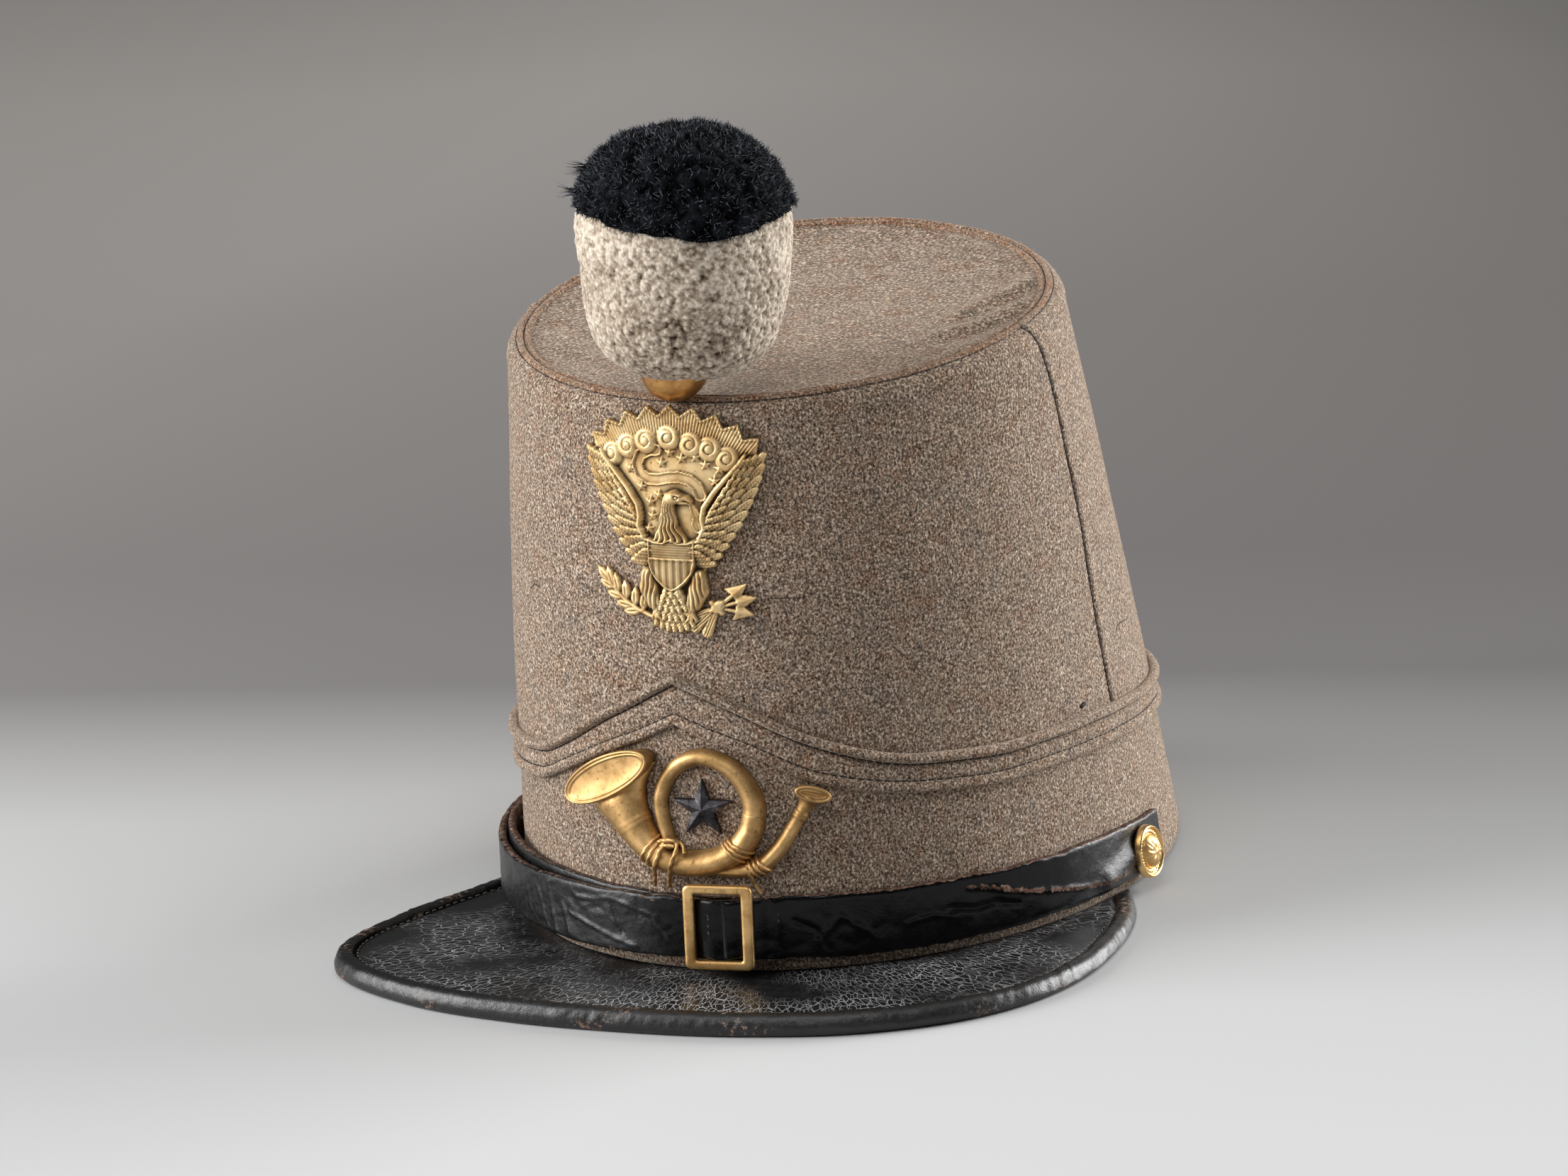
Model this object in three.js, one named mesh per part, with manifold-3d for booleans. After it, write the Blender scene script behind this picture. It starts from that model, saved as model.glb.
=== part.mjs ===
// A militia shako: a tapered wool crown with a flat leather visor, a buckled chin strap,
// two struck brass badges and a two-coloured wool pompom.
// Millimetres, +Z up. The hat faces -Y, and the wearer's left is +X.
import * as THREE from "three";
import { mergeVertices } from "three/addons/utils/BufferGeometryUtils.js";
import Module from "manifold-3d";

const wasm = await Module();
wasm.setup();

// Driving dimensions

const GAP = 0.3; // between neighbours that touch on the real hat
const CLOTH = 2.2; // wool over its stiffened body
const AROUND = 60; // stations round the crown

// Each oval lies in a plane that tips about the X axis; a positive tilt lowers the front.
const RIM = { halfWidth: 80.1, halfLength: 102, y: 0, z: 2, tilt: -1.1 };
const TOP = { halfWidth: 65.3, halfLength: 66.5, y: -23.8, z: 152.2, tilt: 6.3 };
const SHOULDER = { grow: 4.8, drop: 5 }; // where the wall turns in towards the top
const WALL_BULGE = 0.8;
const TOP_SAG = 2.6;
const TOP_FOLD = { deg: 125, spreadDeg: 16, depth: 1.2 }; // a slack fold by the rear left edge

// The pointed band: arc from the front, and the heights of its two edges along the wall.
const BAND = [
  { arc: 0, low: 62, high: 73 },
  { arc: 17, low: 55.3, high: 66.5 },
  { arc: 34, low: 47.2, high: 58 },
  { arc: 52, low: 43, high: 52.5 },
  { arc: 80, low: 40.5, high: 49.7 },
  { arc: 120, low: 40.4, high: 49.6 },
  { arc: 180, low: 37.6, high: 46.4 },
  { arc: 270, low: 36.8, high: 45.4 },
];
const BAND_LEVEL = 50; // the height at which its arcs are measured
const BAND_HALF_GIRTH = 267;
const BAND_FRONT_ARCS = [0, 6, 12, 18, 25, 33, 42, 52, 63]; // stations along the point
const BAND_LIFT = 1.4;
const WELT = { width: 2.4, lift: 2.6 }; // the piped edge of the band

// The visor outline: bearings from the front about a pole on the middle line; worn leather, so not even.
const VISOR_POLE_Y = -50;
const VISOR = [
  { deg: -124, reach: 84 },
  { deg: -110, reach: 81.5 },
  { deg: -90, reach: 82 },
  { deg: -70, reach: 97 },
  { deg: -58, reach: 110 },
  { deg: -50, reach: 112.5 },
  { deg: -36, reach: 106 },
  { deg: -18, reach: 96.6 },
  { deg: 0, reach: 91.6 },
  { deg: 20, reach: 92.6 },
  { deg: 36, reach: 96.6 },
  { deg: 55, reach: 100.2 },
  { deg: 70, reach: 99 },
  { deg: 90, reach: 93.7 },
  { deg: 110, reach: 90.5 },
  { deg: 124, reach: 88 },
];
const VISOR_THICK = 1.7;
const VISOR_STEPS = 44;
const BINDING = { width: 5, narrowest: 1.4, rise: 1.8 };

// Chin strap: edges as heights along the wall, and how far its back stands off the wall.
const STRAP_THICK = 1.8;
const STRAP_FRONT = [
  { arc: 153, low: 2.6, high: 15.6, off: 0.4 },
  { arc: 142, low: 2, high: 16, off: 0.5 },
  { arc: 100, low: 2.4, high: 17, off: 0.5 },
  { arc: 40, low: 2.9, high: 18, off: 0.5 },
  { arc: 25, low: 2.9, high: 18.1, off: 0.8 },
  { arc: 18, low: 2.9, high: 18.1, off: 2.8 },
  { arc: 14.5, low: 2.9, high: 18.1, off: 2.9 },
  { arc: 8.8, low: 2.9, high: 18.1, off: 4.2 },
  { arc: 3, low: 2.9, high: 18.1, off: 2.9 },
  { arc: -6, low: 2.8, high: 18, off: 2.8 },
  { arc: -30, low: 2.5, high: 17.6, off: 3.2 },
  { arc: -60, low: 2.2, high: 16.8, off: 4.4 },
  { arc: -90, low: 2.4, high: 16.8, off: 4.6 },
  { arc: -120, low: 2.4, high: 16.4, off: 3.6 },
  { arc: -142, low: 2, high: 16, off: 2.7 },
  { arc: -153, low: 2.6, high: 15.6, off: 2.6 },
];
const STRAP_UNDER = [
  { arc: 14.5, low: 2.9, high: 18, off: 0.4 },
  { arc: -6, low: 2.9, high: 18.1, off: 0.4 },
  { arc: -30, low: 3.2, high: 18.6, off: 0.6 },
  { arc: -60, low: 4, high: 19.2, off: 1.8 },
  { arc: -90, low: 4, high: 19.2, off: 2 },
  { arc: -120, low: 3, high: 17.6, off: 1.1 },
  { arc: -142, low: 2.4, high: 16.4, off: 0.4 },
  { arc: -153, low: 2.8, high: 15.8, off: 0.4 },
];
const BUCKLE = { arc: 8.8, height: 10.9, width: 17.5, tall: 21.3, side: 2.8, end: 2.3, thick: 1.8 };
const BUCKLE_OFF = 4.7; // back of the frame, clear of the strap under its side bars
const BUCKLE_BAR = { width: 2.2, thick: 1.1, off: 2.6 };
const BUTTON = { height: 9, radius: 7.2, dome: 3.7 };

// Badges: middle arc and the height of their lowest point along the wall.
const EAGLE = { arc: 1.6, height: 84.2, plate: 0.9 };
const HORN_BACK = 0.35;
const STAR = { arc: 6.6, height: 40.8, radius: 7.6, waist: 3.1, thick: 1.5 };

const CUP = { y: -92, z: 153, radius: 8.8 };
const POMPOM = { foot: [0.4, -88.5, 154.2], head: [3.4, -84.8, 212], split: 37.6, locks: 33 };
const POMPOM_PROFILE = [
  { along: 0, radius: 9 },
  { along: 1.5, radius: 15.5 },
  { along: 6, radius: 21.5 },
  { along: 15, radius: 25.8 },
  { along: 28, radius: 27 },
  { along: 40, radius: 26.2 },
  { along: 48, radius: 23 },
  { along: 54, radius: 17 },
  { along: 58, radius: 8 },
];
const LOCK = { radius: 7, flat: 0.62, sunk: 4.6 };

// Helpers

const radians = THREE.MathUtils.degToRad;
const point = (x, y, z) => new THREE.Vector3(x, y, z);

// A smooth line through a table's rows: reads the named column at a place along it.
function reader(rows, along, column) {
  const sorted = [...rows].sort((a, b) => a[along] - b[along]);
  const slope = (i, j) => (sorted[j][column] - sorted[i][column]) / (sorted[j][along] - sorted[i][along]);
  const last = sorted.length - 1;
  const tangent = sorted.map((_, i) => slope(Math.max(i - 1, 0), Math.min(i + 1, last)));
  return (place) => {
    const at = THREE.MathUtils.clamp(place, sorted[0][along], sorted[last][along]);
    let i = 0;
    while (i < last - 1 && at > sorted[i + 1][along]) i += 1;
    const span = sorted[i + 1][along] - sorted[i][along];
    const u = (at - sorted[i][along]) / span;
    const rise = sorted[i + 1][column] - sorted[i][column];
    const bend = u * (1 - u) * ((1 - u) * (tangent[i] * span - rise) - u * (tangent[i + 1] * span - rise));
    return sorted[i][column] + rise * u + bend;
  };
}

// Joins rings of points, each with the same count, into one closed body; an open loft gets flat caps.
function loft(rings, closed = false) {
  const count = rings[0].length;
  const triangles = [];
  const steps = closed ? rings.length : rings.length - 1;
  for (let i = 0; i < steps; i += 1) {
    const here = i * count;
    const next = ((i + 1) % rings.length) * count;
    for (let k = 0; k < count; k += 1) {
      const m = (k + 1) % count;
      triangles.push([here + k, here + m, next + k], [here + m, next + m, next + k]);
    }
  }
  if (!closed) {
    const end = (rings.length - 1) * count;
    for (let k = 1; k < count - 1; k += 1) {
      triangles.push([0, k + 1, k], [end, end + k, end + k + 1]);
    }
  }
  const points = rings.flat();
  let volume = 0;
  for (const [a, b, c] of triangles) volume += points[a].dot(point().crossVectors(points[b], points[c]));
  const faces = volume > 0 ? triangles : triangles.map(([a, b, c]) => [a, c, b]);
  return new THREE.BufferGeometry().setFromPoints(points).setIndex(faces.flat());
}

function solid(geometry) {
  const bare = geometry.index ? geometry.toNonIndexed() : geometry.clone();
  for (const name of Object.keys(bare.attributes)) if (name !== "position") bare.deleteAttribute(name);
  const merged = mergeVertices(bare, 1e-4);
  const vertProperties = new Float32Array(merged.attributes.position.array);
  const triVerts = new Uint32Array(merged.index.array);
  return new wasm.Manifold(new wasm.Mesh({ numProp: 3, vertProperties, triVerts }));
}

function geometryOf(body) {
  const { vertProperties, triVerts } = body.getMesh();
  const geometry = new THREE.BufferGeometry();
  geometry.setAttribute("position", new THREE.BufferAttribute(new Float32Array(vertProperties), 3));
  return geometry.setIndex(new THREE.BufferAttribute(new Uint32Array(triVerts), 1));
}

const fuse = (geometries) => geometryOf(geometries.map(solid).reduce((a, b) => a.add(b)));

// The crown's ovals and wall

// A point of an oval: angle 0 is the front, and +90 degrees is +X.
function onOval(oval, angle, grow = 0, drop = 0) {
  const tilt = radians(oval.tilt);
  const along = -(oval.halfLength + grow) * Math.cos(angle);
  const x = (oval.halfWidth + grow) * Math.sin(angle);
  const y = oval.y + along * Math.cos(tilt) + drop * Math.sin(tilt);
  return point(x, y, oval.z + along * Math.sin(tilt) - drop * Math.cos(tilt));
}

const wallFoot = (angle) => onOval(RIM, angle);
const wallHead = (angle) => onOval(TOP, angle, SHOULDER.grow, SHOULDER.drop);
const slant = (angle) => wallFoot(angle).distanceTo(wallHead(angle));
const straightWall = (angle, share) => wallFoot(angle).lerp(wallHead(angle), share);

// The wall's outside at an angle and a share of its height, with its frame.
function wallFrame(angle, share) {
  const turn = 1e-3;
  const along = straightWall(angle + turn, share).sub(straightWall(angle - turn, share)).normalize();
  const upward = wallHead(angle).sub(wallFoot(angle)).normalize();
  const outward = point().crossVectors(along, upward).normalize();
  const origin = straightWall(angle, share).addScaledVector(outward, 4 * WALL_BULGE * share * (1 - share));
  return { origin, along, upward, outward };
}

function onWall(angle, height, off) {
  const { origin, outward } = wallFrame(angle, height / slant(angle));
  return origin.addScaledVector(outward, off);
}

// Walks round the wall at one height until the arc from the front is used up.
function angleAtArc(arc, height) {
  const step = radians(1);
  const level = (angle) => straightWall(angle, height / slant(angle));
  let angle = 0;
  let left = Math.abs(arc);
  for (;;) {
    const stride = level(angle).distanceTo(level(angle + step));
    if (stride >= left) return Math.sign(arc) * (angle + (step * left) / stride);
    left -= stride;
    angle += step;
  }
}

const atArc = (arc, height, off) => onWall(angleAtArc(arc, height), height, off);
const stations = Array.from({ length: AROUND }, (_, i) => (2 * Math.PI * i) / AROUND);

// Bends a flat badge onto the wall: x becomes arc, y height and z stand-off.
function bend(geometry, arc, height) {
  const flat = geometry.attributes.position;
  for (let i = 0; i < flat.count; i += 1) {
    const bent = atArc(arc + flat.getX(i), height + flat.getY(i), flat.getZ(i));
    flat.setXYZ(i, bent.x, bent.y, bent.z);
  }
  return geometry;
}

// Crown

function crownSide() {
  const shares = [0, 0.33, 0.67, 1];
  const shoulder = [[3.9, 1.9], [2.2, 0.5], [0.6, 0]];
  const inner = [1, 0];
  return loft(
    stations.map((angle) => [
      ...shares.map((share) => wallFrame(angle, share).origin),
      ...shoulder.map(([grow, drop]) => onOval(TOP, angle, grow, drop)),
      onOval(TOP, angle, shoulder[2][0], CLOTH),
      ...inner.map((share) => {
        const foot = onOval(RIM, angle, -CLOTH);
        return foot.lerp(onOval(TOP, angle, SHOULDER.grow - CLOTH, SHOULDER.drop), share);
      }),
    ]),
    true,
  );
}

function crownTop() {
  const sag = (angle, share) => {
    const fold = (angle - radians(TOP_FOLD.deg)) / radians(TOP_FOLD.spreadDeg);
    const slack = TOP_FOLD.depth * Math.exp(-fold * fold) * 4 * share * (1 - share);
    return TOP_SAG * (1 - share * share) + slack;
  };
  const ring = (share, under) =>
    stations.map((angle) => {
      const grow = GAP - (1 - share) * TOP.halfWidth;
      return onOval(TOP, angle, grow, sag(angle, share) + under);
    });
  const top = [0.2, 0.55, 0.8, 1].map((share) => ring(share, 0));
  const under = [1, 0.2].map((share) => ring(share, CLOTH - GAP));
  return loft([...top, ...under]);
}

// Piping over the seam between the wall and the top.
const TOP_WELT = [[-0.7, -0.3], [1.9, -0.3], [1.9, -1.1], [0.6, -1.8], [-0.7, -1.1]];

function topWelt() {
  const rings = stations.map((angle) => TOP_WELT.map(([grow, drop]) => onOval(TOP, angle, grow, drop)));
  return loft(rings, true);
}

// A lapped side seam, from the band up to the shoulder.
function sideSeam(side) {
  const angle = side * (Math.PI / 2);
  const from = BAND[4].high + 1;
  const upTo = slant(angle) - 0.5;
  const lap = [[-2.4, 0.3], [2.4, 0.3], [2.4, 0.6], [-1.6, 1.4], [-2.4, 1.2]];
  const rings = Array.from({ length: 7 }, (_, i) => {
    const height = THREE.MathUtils.lerp(from, upTo, i / 6);
    const { origin, along, outward } = wallFrame(angle, height / slant(angle));
    const place = ([across, off]) =>
      origin.clone().addScaledVector(along, side * across).addScaledVector(outward, off);
    return lap.map(place);
  });
  return loft(rings);
}

function band() {
  const low = reader(BAND, "arc", "low");
  const high = reader(BAND, "arc", "high");
  const section = (bottom, top) => [
    [bottom, GAP],
    [bottom - 0.3, WELT.lift * 0.6],
    [bottom + WELT.width * 0.45, WELT.lift],
    [bottom + WELT.width, BAND_LIFT],
    [top - WELT.width, BAND_LIFT],
    [top - WELT.width * 0.45, WELT.lift],
    [top + 0.3, WELT.lift * 0.6],
    [top, GAP],
  ];
  const rest = Array.from({ length: 19 }, (_, i) => 75 + i * 10.3);
  const right = [...BAND_FRONT_ARCS, ...rest].filter((arc) => arc < BAND_HALF_GIRTH - 4);
  const arcs = [...right, ...right.slice(1).reverse().map((arc) => -arc)];
  const rings = arcs.map((arc) => {
    const angle = angleAtArc(arc, BAND_LEVEL);
    const place = Math.abs(arc);
    return section(low(place), high(place)).map(([height, off]) => onWall(angle, height, off));
  });
  return loft(rings, true);
}

// Visor

const rimPlane = (y) => RIM.z + y * Math.tan(radians(RIM.tilt));

// Distance from the visor's pole to the rim oval, along a bearing from the front.
function rimReach(bearing, grow) {
  const a = RIM.halfWidth + grow;
  const b = RIM.halfLength + grow;
  const sine = Math.sin(bearing) / a;
  const cosine = Math.cos(bearing) / b;
  const pole = VISOR_POLE_Y / b;
  const square = sine * sine + cosine * cosine;
  const half = -pole * cosine;
  return (-half + Math.sqrt(half * half + square * (1 - pole * pole))) / square;
}

const visorOutline = reader(VISOR, "deg", "reach");
const visorReach = (bearing) => visorOutline(THREE.MathUtils.radToDeg(bearing));

function fromPole(bearing, reach, z) {
  const y = VISOR_POLE_Y - reach * Math.cos(bearing);
  return point(reach * Math.sin(bearing), y, z(y));
}

// Where the binding starts: its width at a bearing shrinks as the visor nears the wall.
const bindingWidth = (bearing) => Math.min(BINDING.width, visorReach(bearing) - rimReach(bearing, 0.5));

function visorBearings() {
  const limit = (side) => {
    let deg = 60;
    while (bindingWidth(radians(side * deg)) > BINDING.narrowest) deg += 0.5;
    return radians(side * deg);
  };
  const [from, to] = [limit(-1), limit(1)];
  const share = (_, i) => THREE.MathUtils.lerp(from, to, i / VISOR_STEPS);
  return Array.from({ length: VISOR_STEPS + 1 }, share);
}

function visorPlate() {
  const topFace = (y) => rimPlane(y) - GAP;
  const underside = (y) => topFace(y) - VISOR_THICK;
  const rings = visorBearings().map((bearing) => {
    const inside = rimReach(bearing, -CLOTH);
    const outside = visorReach(bearing) - bindingWidth(bearing) - GAP;
    return [
      fromPole(bearing, inside, topFace),
      fromPole(bearing, outside, topFace),
      fromPole(bearing, outside, underside),
      fromPole(bearing, inside, underside),
    ];
  });
  return loft(rings);
}

// The rolled leather edge, flattened on the floor that it rests on.
function visorBinding() {
  const rings = visorBearings().map((bearing) => {
    const wide = bindingWidth(bearing);
    const reach = visorReach(bearing);
    const share = wide / BINDING.width;
    const rise = (part) => (y) => rimPlane(y) + BINDING.rise * part * share;
    const floor = (lift) => () => lift;
    return [
      fromPole(bearing, reach - wide, rise(0.35)),
      fromPole(bearing, reach - wide * 0.7, rise(0.95)),
      fromPole(bearing, reach - wide * 0.3, rise(0.8)),
      fromPole(bearing, reach, rise(-0.7)),
      fromPole(bearing, reach - wide * 0.06, floor(1.1)),
      fromPole(bearing, reach - wide * 0.32, floor(0)),
      fromPole(bearing, reach - wide, floor(0)),
    ];
  });
  return loft(rings);
}

// Chin strap, buckle and buttons

// Stations along the strap, closer together where it passes through the buckle.
function strapArcs(from, to) {
  const arcs = [];
  for (let arc = from; arc > to + 1; arc -= Math.abs(arc - BUCKLE.arc) < 13 ? 1.9 : 7) arcs.push(arc);
  return [...arcs, to];
}

function strap(rows) {
  const [low, high, off] = ["low", "high", "off"].map((column) => reader(rows, "arc", column));
  const rings = strapArcs(rows[0].arc, rows[rows.length - 1].arc).map((arc) => {
    const angle = angleAtArc(arc, BUTTON.height);
    const back = off(arc);
    const face = back + STRAP_THICK;
    const corners = [[low(arc), back], [high(arc), back], [high(arc), face], [low(arc), face]];
    return corners.map(([height, stand]) => onWall(angle, height, stand));
  });
  return loft(rings);
}

// Sets a piece made flat, with z out of the wall, on the wall at an angle, height and stand-off.
function seat(geometry, angle, height, off) {
  const { origin, along, upward, outward } = wallFrame(angle, height / slant(angle));
  const place = new THREE.Matrix4().makeBasis(along, upward, outward);
  place.setPosition(origin.addScaledVector(outward, off));
  return geometry.applyMatrix4(place);
}

function rectangle(path, halfWidth, halfTall, corner) {
  path.moveTo(-halfWidth + corner, -halfTall);
  path.lineTo(halfWidth - corner, -halfTall);
  path.quadraticCurveTo(halfWidth, -halfTall, halfWidth, -halfTall + corner);
  path.lineTo(halfWidth, halfTall - corner);
  path.quadraticCurveTo(halfWidth, halfTall, halfWidth - corner, halfTall);
  path.lineTo(-halfWidth + corner, halfTall);
  path.quadraticCurveTo(-halfWidth, halfTall, -halfWidth, halfTall - corner);
  path.lineTo(-halfWidth, -halfTall + corner);
  path.quadraticCurveTo(-halfWidth, -halfTall, -halfWidth + corner, -halfTall);
  return path;
}

// A frame with one hidden bar behind the strap that is looped over it.
function buckle() {
  const halfWidth = BUCKLE.width / 2;
  const halfTall = BUCKLE.tall / 2;
  const outline = rectangle(new THREE.Shape(), halfWidth, halfTall, 1.4);
  outline.holes.push(rectangle(new THREE.Path(), halfWidth - BUCKLE.side, halfTall - BUCKLE.end, 0.5));
  const bevel = { bevelEnabled: true, bevelThickness: 0.35, bevelSize: 0.35, bevelOffset: -0.35, bevelSegments: 1 };
  const depth = BUCKLE.thick - 2 * bevel.bevelThickness;
  const frame = new THREE.ExtrudeGeometry(outline, { depth, curveSegments: 2, ...bevel });
  frame.translate(0, 0, BUCKLE_OFF + bevel.bevelThickness);
  const endMiddle = halfTall - BUCKLE.end / 2;
  const bar = new THREE.BoxGeometry(BUCKLE_BAR.width, 2 * endMiddle + 1.6, BUCKLE_BAR.thick);
  bar.translate(0, 0, BUCKLE_BAR.off + BUCKLE_BAR.thick / 2);
  const posts = [-1, 1].map((side) => {
    const post = new THREE.BoxGeometry(BUCKLE_BAR.width, 1.6, BUCKLE_OFF + 1 - BUCKLE_BAR.off);
    return post.translate(0, side * endMiddle, (BUCKLE_OFF + 1 + BUCKLE_BAR.off) / 2);
  });
  return seat(fuse([frame, bar, ...posts]), angleAtArc(BUCKLE.arc, BUCKLE.height), BUCKLE.height, 0);
}

function button(side, strapOff) {
  const { radius, dome } = BUTTON;
  const profile = [
    [0, 0],
    [radius * 0.86, 0],
    [radius, 0.6],
    [radius, 1.1],
    [radius * 0.92, 1.6],
    [radius * 0.82, 1.3],
    [radius * 0.7, dome * 0.62],
    [radius * 0.4, dome * 0.9],
    [0, dome],
  ];
  const lathe = new THREE.LatheGeometry(profile.map(([r, z]) => new THREE.Vector2(r, z)), 16);
  lathe.rotateX(Math.PI / 2);
  return seat(lathe, side * (Math.PI / 2), BUTTON.height, strapOff + STRAP_THICK + GAP);
}

// Badges, made flat: x across, y up, z out of the wall

// A raised line through points of [x, y, half width], with a sharp ridge or a flat top.
function ridge(points, base, rise, taper = 1, flatTop = 0) {
  const rings = points.map(([x, y, half], i) => {
    const before = points[Math.max(i - 1, 0)];
    const after = points[Math.min(i + 1, points.length - 1)];
    const length = Math.hypot(after[0] - before[0], after[1] - before[1]);
    const across = [-(after[1] - before[1]) / length, (after[0] - before[0]) / length];
    const height = rise * THREE.MathUtils.lerp(1, taper, i / (points.length - 1));
    const spot = (side, z) => point(x + side * half * across[0], y + side * half * across[1], z);
    const crest = flatTop ? [flatTop, -flatTop] : [0];
    return [spot(-1, base), spot(1, base), ...crest.map((side) => spot(side, base + height))];
  });
  return loft(rings);
}

function boss(x, y, z, sizeX, sizeY, sizeZ) {
  return new THREE.SphereGeometry(1, 7, 4).rotateX(Math.PI / 2).scale(sizeX, sizeY, sizeZ).translate(x, y, z);
}

function slab(corners, base, thick) {
  const outline = new THREE.Shape(corners.map(([x, y]) => new THREE.Vector2(x, y)));
  return new THREE.ExtrudeGeometry(outline, { depth: thick, bevelEnabled: false }).translate(0, 0, base);
}

// Fuses a badge's raised pieces and trims away what lies behind its flat back.
function struck(pieces, back) {
  const room = new THREE.BoxGeometry(200, 400, 40).translate(0, 0, 20 + back);
  return geometryOf(solid(fuse(pieces)).intersect(solid(room)));
}

const mirrored = (corners) => corners.map(([x, ...rest]) => [-x, ...rest]);

// Splits edges until each is short enough to follow the wall's curve.
function shorten(geometry, longest) {
  let faces = [];
  const bare = (geometry.index ? geometry.toNonIndexed() : geometry).attributes.position;
  const corner = (i) => point().fromBufferAttribute(bare, i);
  for (let i = 0; i < bare.count; i += 3) faces.push([corner(i), corner(i + 1), corner(i + 2)]);
  const wide = (a, b) => Math.abs(a.x - b.x) > longest;
  for (let again = true; again; ) {
    again = false;
    const next = [];
    for (const [a, b, c] of faces) {
      const cuts = [wide(a, b), wide(b, c), wide(c, a)];
      const [ab, bc, ca] = [[a, b], [b, c], [c, a]].map(([p, q]) => p.clone().add(q).multiplyScalar(0.5));
      again = again || cuts.some(Boolean);
      const ring = [a, ...(cuts[0] ? [ab] : []), b, ...(cuts[1] ? [bc] : []), c, ...(cuts[2] ? [ca] : [])];
      const start = cuts[0] ? 1 : cuts[1] ? 2 : cuts[2] ? 3 : 0;
      const turned = [...ring.slice(start), ...ring.slice(0, start)];
      for (let k = 1; k < turned.length - 1; k += 1) next.push([turned[0], turned[k], turned[k + 1]]);
    }
    faces = next;
  }
  return mergeVertices(new THREE.BufferGeometry().setFromPoints(faces.flat()), 1e-4);
}

const RAYS = { count: 9, halfDeg: 39.5, radius: 34.6, centreY: 20.9, valley: 1.9, length: 7.5 };
const WING_EDGE = [[22.7, 43.5], [20, 36], [17.4, 29.2], [13.4, 21.8], [9.6, 16]];
const CLOUDS = [[-16, 43.1], [-11.6, 45.9], [-6.2, 47.4], [-0.4, 48.2], [5.3, 47.4], [10.2, 46], [14.4, 43.6]];
const RIBBON = [[-3.6, 44.1], [-8.2, 42.1], [-8.5, 38.6], [-3.9, 36.6], [2.6, 37.8], [7.6, 36.6], [8.8, 34.2]];
const SKY_STARS = [
  [-10.5, 39.5], [-2.1, 41.3], [-7.5, 35.2], [-2.9, 33.4], [-5.2, 31.6], [-4.8, 28.2], [-5.9, 25],
  [0.1, 43.9], [3.1, 42.6], [6.6, 43], [9, 41.2], [12.4, 40.2], [11.2, 37.2],
];

// Feathers fan out from the wing's inner edge to its outer edge, each row overlapping the next.
function wing(side, base) {
  const roots = [[16.6, 42], [13.6, 38.4], [10.8, 35], [9, 31.6], [8.4, 28], [8, 24.6], [6.8, 22]];
  const tips = [[22.6, 45], [22, 40.2], [20.4, 35.4], [18.6, 31], [16.2, 26.4], [13.6, 21.8], [10.6, 17.2]];
  return roots.map(([x, y], i) => {
    const [tipX, tipY] = tips[i];
    const middle = [side * (x + tipX) * 0.5, (y + tipY) * 0.5 - 0.4, 2.5];
    return ridge([[side * x, y, 1.9], middle, [side * tipX, tipY, 1]], base, 1.5, 0.5);
  });
}

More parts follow.
